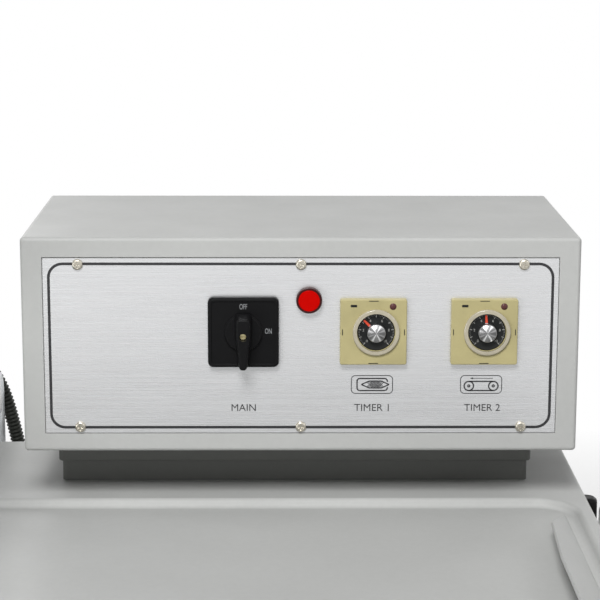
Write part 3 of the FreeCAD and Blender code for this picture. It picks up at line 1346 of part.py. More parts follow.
def cradle_plates():
    """Side plates with a horn for the guide roller and a dip for the film roll."""
    horn = CRADLE_LEFT + CRADLE_HORN_WIDTH
    radius = CRADLE_CORNER
    corners = [
        (CRADLE_LEFT, CRADLE_BOTTOM, radius),
        (CRADLE_RIGHT, CRADLE_BOTTOM, radius * 2),
        (CRADLE_RIGHT, CRADLE_DIP, radius),
        (horn + radius * 2, CRADLE_DIP, radius * 1.6),
        (horn, CRADLE_TOP, radius),
        (CRADLE_LEFT, CRADLE_TOP, radius * 0.5),
    ]
    plates = []
    for y in (-cradle_inner() - CRADLE_PLATE, cradle_inner()):
        side = plate(corners, lambda a, b: V(a, y, b), V(0, CRADLE_PLATE, 0))
        for x, z in spindle_places():
            side = side.cut(rod(x, y, z, Y_AXIS, SPINDLE_RADIUS + RUNNING_FIT, CRADLE_PLATE))
        side = side.cut(rod(TIE_X, y, TIE_Z, Y_AXIS, TIE_RADIUS * 0.6, CRADLE_PLATE))
        plates.append(side)
    return plates


def spindle_places():
    places = [(x, CRADLE_ROLLER_Z) for x in CRADLE_ROLLER_X]
    places.append((GUIDE_ROLLER_X, GUIDE_ROLLER_Z))
    return places


def cradle_tie():
    """Tie rod that holds the side plates apart, with stepped ends in their holes."""
    inner = cradle_inner()
    body = rod(TIE_X, -inner, TIE_Z, Y_AXIS, TIE_RADIUS, 2 * inner)
    reach = inner + CRADLE_PLATE
    ends = rod(TIE_X, -reach, TIE_Z, Y_AXIS, TIE_RADIUS * 0.6, 2 * reach)
    return body.fuse(ends)


def cradle_roller(x, z, radius):
    """Roller between the side plates, its spindle ending in heads outside them."""
    inner = cradle_inner()
    outer = inner + CRADLE_PLATE
    drum_half = inner - CRADLE_ROLLER_GAP
    drum = rod(x, -drum_half, z, Y_AXIS, radius, 2 * drum_half)
    drum = round_edges(drum, 2.0, lambda edge: not runs_along(edge, Y_AXIS))
    reach = outer + 0.5 + SPINDLE_HEAD
    spindle = rod(x, -reach, z, Y_AXIS, SPINDLE_RADIUS, 2 * reach)
    shape = drum.fuse(spindle)
    for y in (-reach, outer + 0.5):
        shape = shape.fuse(rod(x, y, z, Y_AXIS, SPINDLE_HEAD_RADIUS, SPINDLE_HEAD))
    return shape


def knob_y():
    return cradle_inner() + CRADLE_PLATE / 2


def knob_bracket():
    """Small angle on the outside of the rear side plate, carrying the film guide's knob."""
    low = KNOB_TOP - KNOB_HEIGHT - KNOB_STEM
    half = KNOB_TAB_WIDTH / 2
    y = knob_y()
    outer = cradle_inner() + CRADLE_PLATE
    right = CRADLE_LEFT + KNOB_TAB_REACH
    shelf = block(KNOB_X - half, CRADLE_LEFT - KNOB_TAB_GAP, y - half, y + half,
                  low - KNOB_TAB, low)
    shelf = round_edges(shelf, 4.0, lambda edge: runs_along(edge, Z_AXIS)
                        and edge.BoundBox.XMax < CRADLE_LEFT - 1)
    tab = block(CRADLE_LEFT - 2 * KNOB_TAB_GAP, right, outer, y + half, low - KNOB_TAB, low)
    ear = block(CRADLE_LEFT + 1, right, outer, outer + KNOB_TAB, low - 4 * KNOB_TAB, low)
    shape = shelf.fuse(tab).fuse(ear)
    return shape.cut(rod(KNOB_X, y, low - KNOB_TAB, Z_AXIS, KNOB_STEM_RADIUS + RUNNING_FIT,
                         KNOB_TAB))


def guide_knob():
    """Hand knob with a domed top on a threaded stem."""
    y = knob_y()
    low = KNOB_TOP - KNOB_HEIGHT
    knob = rod(KNOB_X, y, low, Z_AXIS, KNOB_RADIUS, KNOB_HEIGHT)
    knob = round_edges(knob, KNOB_DOME, lambda edge: edge.BoundBox.ZMin > KNOB_TOP - 1e-6)
    stem_low = low - KNOB_STEM - KNOB_TAB - 2
    return knob.fuse(rod(KNOB_X, y, stem_low, Z_AXIS, KNOB_STEM_RADIUS, low - stem_low))


# ---------------------------------------------------------------- conduit
def frame_gland():
    """Gland on the rear apron, where the conduit leaves the frame."""
    x, y, z = CONDUIT_LINE[0]
    return gland(x, y - GLAND_HEX - GLAND_DOME, z, Y_AXIS, 0.5 * GLAND_DOME)


def arm_conduit():
    """Corrugated conduit, drawn as a plain tube: straight runs joined by tangent arcs."""
    points = [V(*point) for point in CONDUIT_LINE]
    edges = []
    here = points[0]
    for number in range(1, len(points) - 1):
        back = points[number - 1] - points[number]
        ahead = points[number + 1] - points[number]
        shorter = min(back.Length, ahead.Length)
        back.normalize()
        ahead.normalize()
        half = back.getAngle(ahead) / 2
        run = 0.45 * shorter
        radius = run * math.tan(half)
        middle = points[number] + (back + ahead).normalize() * (radius / math.sin(half) - radius)
        start, end = points[number] + back * run, points[number] + ahead * run
        edges.append(Part.LineSegment(here, start).toShape())
        edges.append(Part.Arc(start, middle, end).toShape())
        print("conduit bend", number, "radius", round(radius, 1))
        here = end
    edges.append(Part.LineSegment(here, points[-1]).toShape())
    path = Part.Wire(edges)
    section = Part.Wire(Part.makeCircle(CONDUIT_RADIUS, points[0], Y_AXIS))
    tube_solid = path.makePipeShell([section], True, False)
    expected = math.pi * CONDUIT_RADIUS ** 2 * path.Length
    print("conduit length", round(path.Length, 1), "volume ratio",
          round(tube_solid.Volume / expected, 4))
    return tube_solid


# ---------------------------------------------------------------- all nodes
NODES = {
    "foot_beams": foot_beams(),
    "leveling_feet": leveling_feet(),
    "tube_plugs": tube_plugs(),
    "lower_rails": lower_rails(),
    "legs": legs() + cradle_posts(),
    "upper_rails": upper_rails() + [spring_anchor()],
    "aprons": aprons(),
    "lower_shelf": [lower_shelf()],
    "deck": [deck()],
    "film_guide_lip": [film_guide_lip()],
    "head_shell": [head_shell()],
    "head_rear_cover": [head_rear_cover()],
    "head_pedestal": [head_pedestal()],
    "pedestal_plinth": [pedestal_plinth()],
    "control_panel": [control_panel()],
    "head_screws": head_screws(),
    "switch_plate": [switch_plate()],
    "switch_knob": [switch_knob()],
    "switch_shaft": [switch_shaft()],
    "switch_body": [switch_body()],
    "pilot_lamp_body": [pilot_lamp_body()],
    "pilot_lamp_lens": [pilot_lamp_lens()],
    "timer_sockets": timer_sockets(),
    "contactor": [contactor()],
    "transformer": [transformer()],
    "conveyor_sides": conveyor_sides(),
    "conveyor_bed": [conveyor_bed()],
    "conveyor_belt": [conveyor_belt()],
    "drive_roller": [conveyor_roller(DRIVE_X, GEARBOX_DEPTH - 10)],
    "tail_roller": [conveyor_roller(TAIL_ROLLER_X, ROLLER_SHAFT_STUB)],
    "gear_motor": [gear_motor()],
    "lower_jaw": lower_jaw(),
    "jaw_pads": jaw_pads(),
    "arm_hub": [raised(arm_hub())],
    "arm_side_limb": [raised(arm_side_limb())],
    "arm_front_limb": [raised(arm_front_limb())],
    "seal_bars": [raised(bar) for bar in seal_bars()],
    "arm_handle": [raised(post) for post in arm_handle()],
    "handle_grip": [raised(handle_grip())],
    "keepers": [raised(keeper) for keeper in keepers()],
    "arm_gland": [raised(arm_gland())],
    "pivot_brackets": pivot_brackets(),
    "pivot_shaft": [pivot_shaft()],
    "return_spring": [return_spring()],
    "magnets": magnets(),
    "cradle_plates": cradle_plates(),
    "cradle_tie": [cradle_tie()],
    "cradle_roller_left": [cradle_roller(CRADLE_ROLLER_X[0], CRADLE_ROLLER_Z,
                                         CRADLE_ROLLER_RADIUS)],
    "cradle_roller_right": [cradle_roller(CRADLE_ROLLER_X[1], CRADLE_ROLLER_Z,
                                          CRADLE_ROLLER_RADIUS)],
    "guide_roller": [cradle_roller(GUIDE_ROLLER_X, GUIDE_ROLLER_Z, GUIDE_ROLLER_RADIUS)],
    "knob_bracket": [knob_bracket()],
    "guide_knob": [guide_knob()],
    "cable_glands": [head_gland(), frame_gland()],
    "arm_conduit": [arm_conduit()],
}
for timer, x, angle in zip(("sealing_timer", "feeding_timer"), TIMER_X, POINTER_ANGLES):
    NODES[timer + "_case"] = [timer_case(x)]
    NODES[timer + "_bezel"] = [timer_bezel(x)]
    NODES[timer + "_dial"] = [timer_dial(x, angle)]

os.makedirs("parts", exist_ok=True)
for name, solids in NODES.items():
    shape = solids[0] if len(solids) == 1 else Part.makeCompound(solids)
    shape.exportStep("parts/" + name + ".step")
print(len(NODES), "nodes written")
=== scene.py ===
"""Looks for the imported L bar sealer: its nodes' finishes, and pieces too fine for CAD."""

import json
import math

import bmesh
import bpy
from mathutils import Matrix, Vector


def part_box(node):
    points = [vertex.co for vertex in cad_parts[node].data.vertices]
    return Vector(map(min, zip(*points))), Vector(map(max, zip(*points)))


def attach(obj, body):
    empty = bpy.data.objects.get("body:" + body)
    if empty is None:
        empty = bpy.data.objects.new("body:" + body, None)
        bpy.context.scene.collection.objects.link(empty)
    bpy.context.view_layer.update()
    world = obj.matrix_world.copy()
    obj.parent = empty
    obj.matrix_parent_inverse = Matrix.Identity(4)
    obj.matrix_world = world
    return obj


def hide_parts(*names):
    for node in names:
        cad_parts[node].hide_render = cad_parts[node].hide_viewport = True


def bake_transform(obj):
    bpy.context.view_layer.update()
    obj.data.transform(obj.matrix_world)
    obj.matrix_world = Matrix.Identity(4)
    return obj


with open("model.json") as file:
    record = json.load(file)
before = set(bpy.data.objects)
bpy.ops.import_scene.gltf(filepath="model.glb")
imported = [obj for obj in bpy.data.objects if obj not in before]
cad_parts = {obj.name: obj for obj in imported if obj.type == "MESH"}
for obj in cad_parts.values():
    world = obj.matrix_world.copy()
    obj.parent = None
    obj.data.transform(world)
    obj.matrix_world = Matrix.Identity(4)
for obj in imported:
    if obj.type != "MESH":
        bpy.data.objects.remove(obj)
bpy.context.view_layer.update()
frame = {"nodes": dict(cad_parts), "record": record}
NODES = frame["nodes"]
MM = 0.001
CAP_RADIUS = 6.9 * MM          # just outside the dials' turned caps


# ---------------------------------------------------------------- materials
GLINT_PAINT_STOPS = (                  # place between upright and level, and how bright the painted glint is there
    (0.0, 0.34), (0.18, 0.30), (0.29, 0.95), (0.36, 0.90), (0.46, 0.26),
    (0.62, 0.16), (0.76, 0.42), (0.84, 0.20), (1.0, 0.12),
)


class Finish:
    """A procedural material. Its patterns are sized in metres, in object coordinates."""

    def __init__(self, name, colour, roughness, metallic=0.0, **sockets):
        self.material = bpy.data.materials.new(name)
        self.material.use_nodes = True
        self.tree = self.material.node_tree
        self.shader = self.tree.nodes["Principled BSDF"]
        self.colour = (*colour, 1.0)
        self.roughness = roughness
        self.shader.inputs["Base Color"].default_value = self.colour
        self.shader.inputs["Roughness"].default_value = roughness
        self.shader.inputs["Metallic"].default_value = metallic
        for socket, value in sockets.items():
            self.shader.inputs[socket.replace("_", " ")].default_value = value
        self.place = self.add("ShaderNodeTexCoord").outputs["Object"]

    def add(self, kind, settings=(), *values, **inputs):
        """A new node. An input is a value or another node's output, given in order or by name."""
        node = self.tree.nodes.new(kind)
        for key, value in dict(settings).items():
            setattr(node, key, value)
        sockets = list(zip(node.inputs, values))
        sockets += [(node.inputs[key.replace("_", " ")], value) for key, value in inputs.items()]
        for socket, value in sockets:
            if isinstance(value, bpy.types.NodeSocket):
                self.tree.links.new(value, socket)
            else:
                socket.default_value = value
        return node

    def noise(self, size, stretch=(1, 1, 1), detail=3.0):
        """Noise in blotches about size metres across, drawn out along each axis by stretch."""
        scale = tuple(1 / (size * pull) for pull in stretch)
        place = self.add("ShaderNodeMapping", {"vector_type": "POINT"},
                         Vector=self.place, Scale=scale).outputs["Vector"]
        return self.add("ShaderNodeTexNoise", Vector=place, Scale=1.0,
                        Detail=detail).outputs["Fac"]

    def spread(self, value, low, high, source=(0.3, 0.7)):
        """value, mapped from its usual range to low..high."""
        return self.add("ShaderNodeMapRange", Value=value, From_Min=source[0],
                        From_Max=source[1], To_Min=low, To_Max=high).outputs["Result"]

    def shade(self, factor):
        """Multiplies the base colour by a node's output."""
        base = self.shader.inputs["Base Color"]
        source = base.links[0].from_socket if base.links else self.colour[:3]
        scaled = self.add("ShaderNodeVectorMath", {"operation": "SCALE"}, source, Scale=factor)
        self.tree.links.new(scaled.outputs["Vector"], base)
        return self

    def mottle(self, size, amount, stretch=(1, 1, 1)):
        """Uneven colour: lighter and darker by amount, over patches of that size."""
        return self.shade(self.spread(self.noise(size, stretch), 1 - amount, 1 + amount))

    def smudge(self, size, amount, stretch=(1, 1, 1)):
        """Uneven gloss over patches of that size."""
        rough = self.spread(self.noise(size, stretch), self.roughness - amount,
                            self.roughness + amount)
        self.tree.links.new(rough, self.shader.inputs["Roughness"])
        return self

    def relief(self, size, depth, stretch=(1, 1, 1)):
        """Raised grain of that size and depth, in metres."""
        return self.bump(self.noise(size, stretch, detail=2.0), depth)

    def bump(self, height, depth):
        """Raises the surface by a node's output, on top of any bump that it already has."""
        normal = self.shader.inputs["Normal"]
        node = self.add("ShaderNodeBump", Height=height, Strength=1.0, Distance=depth)
        if normal.links:
            self.tree.links.new(normal.links[0].from_socket, node.inputs["Normal"])
        self.tree.links.new(node.outputs["Normal"], normal)
        return self

    def fan(self, centre):
        """Turned rings round the Y axis through centre, and glints painted into the base colour by
        their angle round it.
        """
        from_centre = self.add("ShaderNodeVectorMath", {"operation": "SUBTRACT"},
                               self.place, centre)
        apart = self.add("ShaderNodeVectorMath", {"operation": "ABSOLUTE"},
                         from_centre.outputs["Vector"])
        parts = self.add("ShaderNodeSeparateXYZ", Vector=apart.outputs["Vector"])
        angle = self.add("ShaderNodeMath", {"operation": "ARCTAN2"},
                         parts.outputs["X"], parts.outputs["Z"])
        ramp = self.add("ShaderNodeValToRGB", Fac=self.spread(angle.outputs["Value"], 0.0, 1.0,
                                                              (0.0, math.pi / 2)))
        points = ramp.color_ramp.elements
        for place, _ in GLINT_PAINT_STOPS[1:-1]:
            points.new(place)
        # painted highlight: the glints' brightness, set by angle into the base colour
        for point, (place, shade) in zip(points, GLINT_PAINT_STOPS):
            point.position = place
            point.color = (shade, shade, shade * 1.01, 1.0)
        self.tree.links.new(ramp.outputs["Color"], self.shader.inputs["Base Color"])
        waves = self.add("ShaderNodeTexWave", {"wave_type": "RINGS", "rings_direction": "Y"},
                         Vector=from_centre.outputs["Vector"], Scale=900.0, Distortion=0.3)
        return self.bump(waves.outputs["Fac"], 0.00002)

    def edges(self, radius, gain):
        """Each edge rounded by radius, and lighter by gain: partly wear, partly a painted
        highlight.
        """
        bevel = self.add("ShaderNodeBevel", {"samples": 4}, Radius=radius)
        face = self.add("ShaderNodeNewGeometry").outputs["Normal"]
        facing = self.add("ShaderNodeVectorMath", {"operation": "DOT_PRODUCT"},
                          bevel.outputs["Normal"], face)
        self.tree.links.new(bevel.outputs["Normal"], self.shader.inputs["Normal"])
        # lighter near each edge: wear together with a painted highlight along the bends
        return self.shade(self.spread(facing.outputs["Value"], gain, 1.0, (0.72, 0.98)))


def painted(name, colour, roughness):
    """Sprayed paint on sheet steel: a faint orange peel and slightly uneven gloss."""
    look = Finish(name, colour, roughness, Specular_IOR_Level=0.12)
    look.edges(0.8 * MM, 1.12).mottle(0.12, 0.025).mottle(0.004, 0.015).smudge(0.05, 0.06)
    return look.relief(0.0022, 0.00006)


def plated(name, colour, roughness, grain=(1, 1, 1)):
    """Bright metal with fine drawing lines along the stretched axis."""
    look = Finish(name, colour, roughness, 1.0)
    look.edges(0.4 * MM, 1.1).mottle(0.02, 0.06).mottle(0.0006, 0.05, grain)
    return look.smudge(0.008, 0.08, grain).relief(0.0005, 0.00002, grain)


def moulded(name, colour, roughness, gloss=0.2):
    """Moulded plastic: a fine spark-eroded grain, and each edge lighter from rubbing and from a
    painted highlight.
    """
    look = Finish(name, colour, roughness, Specular_IOR_Level=gloss)
    look.edges(0.5 * MM, 1.5).mottle(0.02, 0.08).smudge(0.006, 0.08)
    return look.relief(0.0004, 0.00003)


def make_grey_paint():
    return painted("grey paint", (0.485, 0.49, 0.48), 0.42)


def make_dark_paint():
    """Grey paint darkened as painted shade: it stands in for the shadow that the head casts on the
    two steps under it.
    """
    return painted("grey paint with painted shade", (0.17, 0.173, 0.165), 0.5)


def make_brushed_panel():
    """Aluminium sheet brushed from side to side."""
    look = Finish("brushed panel", (0.66, 0.665, 0.675), 0.3, 0.6)
    look.mottle(0.0004, 0.035, (160, 1, 1)).mottle(0.0014, 0.02, (90, 1, 1))
    look.smudge(0.0006, 0.08, (120, 1, 1))
    return look.relief(0.0004, 0.00001, (160, 1, 1))


def make_zinc():
    """Galvanised steel with its spangle."""
    look = Finish("galvanised steel", (0.60, 0.62, 0.63), 0.42, 0.9)
    cells = look.add("ShaderNodeTexVoronoi", Vector=look.place, Scale=180.0)
    shade = look.spread(look.add("ShaderNodeSeparateColor",
                                 Color=cells.outputs["Color"]).outputs["Red"], 0.78, 1.15, (0, 1))
    return look.shade(shade).smudge(0.01, 0.1).relief(0.003, 0.00003)


def make_cast():
    look = Finish("cast aluminium", (0.66, 0.67, 0.68), 0.45, 0.85)
    look.edges(0.8 * MM, 1.12).mottle(0.03, 0.05).smudge(0.012, 0.08)
    return look.relief(0.0012, 0.00008)


def make_belt():
    """Green woven belt: a fine diagonal weave under a rubbed surface."""
    look = Finish("green belt", (0.035, 0.15, 0.085), 0.6)
    weave = look.add("ShaderNodeTexWave", {"bands_direction": "DIAGONAL"}, Vector=look.place,
                     Scale=420.0, Distortion=0.4)
    look.mottle(0.05, 0.15).mottle(0.002, 0.12, (6, 1, 1)).smudge(0.03, 0.1)
    return look.bump(weave.outputs["Fac"], 0.00012)


def make_dial_finish(side):
    """Turned aluminium out to the cap's edge, and red paint on the pointer beyond it."""
    look = plated(f"{side} dial", (0.45, 0.45, 0.46), 0.34)
    low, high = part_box(f"{side}_timer_bezel")
    centre = ((low[0] + high[0]) / 2, 0.0, (low[2] + high[2]) / 2)
    flat = look.add("ShaderNodeVectorMath", {"operation": "MULTIPLY"}, look.place,
                    (1.0, 0.0, 1.0))
    reach = look.add("ShaderNodeVectorMath", {"operation": "DISTANCE"},
                     flat.outputs["Vector"], centre)
    beyond = look.add("ShaderNodeMath", {"operation": "GREATER_THAN"},
                      reach.outputs["Value"], CAP_RADIUS)
    base = look.shader.inputs["Base Color"]
    mix = look.add("ShaderNodeMix", {"data_type": "RGBA"})
    look.tree.links.new(beyond.outputs["Value"], mix.inputs[0])
    look.tree.links.new(base.links[0].from_socket, mix.inputs[6])
    mix.inputs[7].default_value = (0.60, 0.055, 0.02, 1.0)
    look.tree.links.new(mix.outputs[2], base)
    metal = look.add("ShaderNodeMath", {"operation": "SUBTRACT"}, 1.0, beyond.outputs["Value"])
    look.tree.links.new(metal.outputs["Value"], look.shader.inputs["Metallic"])
    return look


def make_lamp_red():
    look = Finish("lamp red", (0.50, 0.0015, 0.0006), 0.25, Specular_IOR_Level=0.04)
    look.shader.inputs["Emission Color"].default_value = (0.8, 0.004, 0.001, 1.0)
    look.shader.inputs["Emission Strength"].default_value = 0.06
    return look.mottle(0.004, 0.04).relief(0.0008, 0.00002)


def make_clear():
    """Clear moulded ring over the beige face, which shows through as a pale cream."""
    look = Finish("clear ring", (0.44, 0.40, 0.30), 0.16, Coat_Weight=0.35, Coat_Roughness=0.08)
    return look.mottle(0.006, 0.08).smudge(0.004, 0.04)


def make_ink(name, colour):
    """Screen-printed ink, a little uneven and slightly raised."""
    return Finish(name, colour, 0.55).mottle(0.0015, 0.12).smudge(0.002, 0.1)


FINISHES = {
    "grey_paint": make_grey_paint(),
    "panel_aluminium": make_brushed_panel(),
    "black_plastic": moulded("black plastic", (0.006, 0.006, 0.0065), 0.38, 0.09),
    "conduit_plastic": moulded("conduit plastic", (0.022, 0.024, 0.020), 0.5),
    "lamp_red": make_lamp_red(),
    "timer_beige": moulded("timer beige", (0.45, 0.40, 0.205), 0.36),
    "clear_plastic": make_clear(),
    "turned_aluminium": plated("turned aluminium", (0.70, 0.70, 0.71), 0.3),
    "bright_steel": plated("bright steel", (0.58, 0.58, 0.57), 0.3, (1, 30, 1)),
    "zinc_steel": make_zinc(),
    "cast_aluminium": make_cast(),
    "silicone": Finish("silicone", (0.36, 0.09, 0.04), 0.55).mottle(0.02, 0.1).smudge(0.01, 0.1),
    "belt_green": make_belt(),
    "motor_paint": painted("motor paint", (0.10, 0.14, 0.19), 0.4),
    "electric_parts": moulded("electric parts", (0.05, 0.05, 0.055), 0.5),
}
BLACK_INK = make_ink("black ink", (0.012, 0.012, 0.014))
GREY_INK = make_ink("grey ink", (0.30, 0.31, 0.32))
WHITE_INK = make_ink("white ink", (0.40, 0.40, 0.38))
DIAL_BLACK = moulded("dial black", (0.010, 0.011, 0.011), 0.45)
LED_BROWN = moulded("unlit indicator", (0.10, 0.035, 0.035), 0.2)
NICKEL = plated("nickel screws", (0.52, 0.49, 0.42), 0.28)
BRASS = plated("brass screw", (0.52, 0.46, 0.26), 0.35)
DULL_STEEL = plated("spring steel", (0.42, 0.42, 0.42), 0.35)

DARK_RED = moulded("dark red plastic", (0.035, 0.002, 0.002), 0.35)
SHADE_DARKENED_PAINT = make_dark_paint()

NODE_FINISHES = {
    "pilot_lamp_body": DARK_RED,
    # the two steps under the head: grey paint darkened to paint in the head's shadow
    "head_pedestal": SHADE_DARKENED_PAINT,
    "pedestal_plinth": SHADE_DARKENED_PAINT,
    "head_screws": NICKEL,
    "switch_shaft": BRASS,
    "sealing_timer_dial": make_dial_finish("sealing"),
    "feeding_timer_dial": make_dial_finish("feeding"),
}


def dress_nodes():
    """Gives every CAD node the finish of its material slot, or the one named for it."""
    slots = {part["node"]: part["material_slot"] for part in frame["record"]["subparts"]}
    for name, node in NODES.items():
        finish = NODE_FINISHES.get(name) or FINISHES[slots[name]]
        node.data.materials.clear()
        node.data.materials.append(finish.material)


# ---------------------------------------------------------------- building pieces
def add_piece(name, mesh, finish, body="machine"):
    """A new object for a mesh that is already in its place, riding on a body."""
    obj = bpy.data.objects.new(name, mesh)
    bpy.context.scene.collection.objects.link(obj)
    mesh.materials.clear()
    mesh.materials.append(finish.material)
    if body:
        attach(obj, body)
    return obj


def mesh_from(build, name, smooth=False):
    """The mesh of a finished bmesh, with its faces turned outwards."""
    bmesh.ops.recalc_face_normals(build, faces=build.faces)
    mesh = bpy.data.meshes.new(name)
    build.to_mesh(mesh)
    build.free()
    if smooth:
        mesh.shade_smooth()
    return mesh


def slab(name, outlines, thickness):
    """Flat plates cut to (x, z) outlines, given as (points, front y), and that thick."""
    build = bmesh.new()
    for points, front in outlines:
        face = build.faces.new([build.verts.new((x, front, z)) for x, z in points])
        moved = bmesh.ops.extrude_face_region(build, geom=[face])["geom"]
        corners = [item for item in moved if isinstance(item, bmesh.types.BMVert)]
        bmesh.ops.translate(build, verts=corners, vec=(0, thickness, 0))
    return mesh_from(build, name)


def arc(x, z, radius, start, end, steps=8):
    """Points on an arc, from start to end degrees, anticlockwise from +X."""
    angles = [math.radians(start + (end - start) * i / steps) for i in range(steps + 1)]
    return [(x + radius * math.cos(a), z + radius * math.sin(a)) for a in angles]


def rounded(x0, x1, z0, z1, radius):
    """Outline of a rectangle with round corners."""
    return (arc(x1 - radius, z1 - radius, radius, 0, 90)
            + arc(x0 + radius, z1 - radius, radius, 90, 180)
            + arc(x0 + radius, z0 + radius, radius, 180, 270)
            + arc(x1 - radius, z0 + radius, radius, 270, 360))


def band(outer, inner, front):
    """The strip between two closed outlines with the same number of points, as faces."""
    count = len(outer)
    strip = []
    for i in range(count):
        j = (i + 1) % count
        strip.append(([outer[i], outer[j], inner[j], inner[i]], front))
    return strip


def frame_line(x0, x1, z0, z1, radius, width, front):
    """A printed or raised rounded rectangle, as a strip of that width inside the outline."""
    outer = rounded(x0, x1, z0, z1, radius)
    inner = rounded(x0 + width, x1 - width, z0 + width, z1 - width, radius - width)
    return band(outer, inner, front)


def ring_line(x, z, radius, width, front, steps):
    """A round strip of that width inside the radius."""
    outer = arc(x, z, radius, 0, 360, steps)[:-1]
    inner = arc(x, z, radius - width, 0, 360, steps)[:-1]
    return band(outer, inner, front)


def stroke(x0, z0, x1, z1, width, front):
    """A straight line of that width between two points."""
    side = Vector((z0 - z1, x1 - x0)).normalized() * width / 2
    return ([(x0 + side.x, z0 + side.y), (x1 + side.x, z1 + side.y),
             (x1 - side.x, z1 - side.y), (x0 - side.x, z0 - side.y)], front)


def lathe(name, profile, centre, steps=48):
    """A turned form round the Y axis through centre, from (radius, y) points."""
    build = bmesh.new()
    rings = []
    for radius, y in profile:
        if radius == 0:
            rings.append([build.verts.new((centre[0], y, centre[1]))])
            continue
        rings.append([build.verts.new((centre[0] + radius * math.cos(math.tau * i / steps), y,
                                       centre[1] + radius * math.sin(math.tau * i / steps)))
                      for i in range(steps)])
    for near, far in zip(rings, rings[1:]):
        for i in range(steps):
            j = (i + 1) % steps
            corners = [near[i % len(near)], near[j % len(near)],
                       far[j % len(far)], far[i % len(far)]]
            build.faces.new(list(dict.fromkeys(corners)))
    return mesh_from(build, name, smooth=True)


def lettering(name, words, height, finish, squeeze=1.0):
    """Flat letters facing the operator: words is a list of (text, x, y, z) by their middles."""
    build = bmesh.new()
    for text, x, y, z in words:
        curve = bpy.data.curves.new(name, "FONT")
        curve.body = text
        curve.align_x = "CENTER"
        curve.align_y = "CENTER"
        holder = bpy.data.objects.new(name, curve)
        bpy.context.scene.collection.objects.link(holder)
        bpy.context.view_layer.update()
        letters = bpy.data.meshes.new_from_object(holder)
        heights = [vertex.co.y for vertex in letters.vertices]
        tall = max(heights) - min(heights)
        halfway = (max(heights) + min(heights)) / 2
        letters.transform(Matrix.Translation((x, y, z)) @ Matrix.Rotation(math.pi / 2, 4, "X")
                          @ Matrix.Scale(height / tall, 4)
                          @ Matrix.Scale(squeeze, 4, (1, 0, 0))
                          @ Matrix.Translation((0, -halfway, 0)))
        build.from_mesh(letters)
        bpy.data.objects.remove(holder)
        bpy.data.meshes.remove(letters)
    mesh = bpy.data.meshes.new(name)
    build.to_mesh(mesh)
    build.free()
    add_piece(name, mesh, finish)


def sweep(name, points, radii, sides):
    """A tube along points, with its radius at each of them."""
    build = bmesh.new()
    rings = []
    across = None
    for i, point in enumerate(points):
        ahead = (points[min(i + 1, len(points) - 1)] - points[max(i - 1, 0)]).normalized()
        if across is None:
            across = ahead.orthogonal().normalized()
        across = (across - ahead * across.dot(ahead)).normalized()
        up = ahead.cross(across)
        rings.append([build.verts.new(point + radii[i] * (math.cos(math.tau * k / sides) * across
                                                          + math.sin(math.tau * k / sides) * up))
                      for k in range(sides)])
    for near, far in zip(rings, rings[1:]):
        for k in range(sides):
            n = (k + 1) % sides
            build.faces.new((near[k], near[n], far[n], far[k]))
    build.faces.new(list(reversed(rings[0])))
    build.faces.new(rings[-1])
    return mesh_from(build, name, smooth=True)


# ---------------------------------------------------------------- camera
CAMERA_AT = (0.13384, -1.27755, 1.30087)
CAMERA_TURN = (-0.20204, -0.00225, -0.01098)       # pitch, roll and yaw, in radians
LENS = 120.0


def make_camera():
    camera = bpy.data.objects.new("camera", bpy.data.cameras.new("camera"))
    bpy.context.scene.collection.objects.link(camera)
    camera.data.lens = LENS
    camera.data.sensor_width = 36.0
    pitch, roll, yaw = CAMERA_TURN
    camera.matrix_world = (Matrix.Translation(CAMERA_AT) @ Matrix.Rotation(yaw, 4, "Z")
                           @ Matrix.Rotation(pitch, 4, "X") @ Matrix.Rotation(roll, 4, "Y")
                           @ Matrix.Rotation(math.pi / 2, 4, "X"))
    bpy.context.scene.camera = camera


# ---------------------------------------------------------------- conduit
CONDUIT_RADIUS = 6.0 * MM
CONDUIT_SIDES = 20
CONDUIT_ROUTE = (
    (-0.074, 0.3205, 0.700),
    (-0.074, 0.339, 0.700),
    (-0.0745, 0.3565, 0.7085),
    (-0.0753, 0.3675, 0.726),
    (-0.077, 0.371, 0.752),
    (-0.080, 0.3705, 0.786),
    (-0.0845, 0.370, 0.824),
    (-0.0915, 0.370, 0.858),
    (-0.098, 0.370, 0.883),
    (-0.1065, 0.370, 0.9005),
    (-0.1185, 0.370, 0.913),
    (-0.134, 0.370, 0.919),
    (-0.149, 0.370, 0.919),
)
RIB_PITCH = 3.2 * MM
RIB_DEPTH = 1.1 * MM
RIB_STEPS = 8
ROUTE_STEPS = 24               # between one control point of the route and the next


def smooth_line(route, steps):
    """Points along the NURBS line whose control points are the route."""
    curve = bpy.data.curves.new("route", "CURVE")
    curve.dimensions = "3D"
    spline = curve.splines.new("NURBS")
    spline.points.add(len(route) - 1)
    for point, place in zip(spline.points, route):
        point.co = (*place, 1.0)
    spline.order_u = 3
    spline.use_endpoint_u = True
    spline.resolution_u = steps
    holder = bpy.data.objects.new("route", curve)
    bpy.context.scene.collection.objects.link(holder)
    bpy.context.view_layer.update()
    line = bpy.data.meshes.new_from_object(holder)
    points = [vertex.co.copy() for vertex in line.vertices]
    bpy.data.objects.remove(holder)
    bpy.data.meshes.remove(line)
    return points


def walk(points, step):
    """Points a step apart along a line."""
    travelled = [0.0]
    for a, b in zip(points, points[1:]):
        travelled.append(travelled[-1] + (b - a).length)
    count = round(travelled[-1] / step)
    places = []
    k = 0
    for i in range(count + 1):
        want = travelled[-1] * i / count
        while k < len(points) - 2 and travelled[k + 1] < want:
            k += 1
        share = (want - travelled[k]) / (travelled[k + 1] - travelled[k])
        places.append(points[k].lerp(points[k + 1], min(max(share, 0), 1)))
    return places


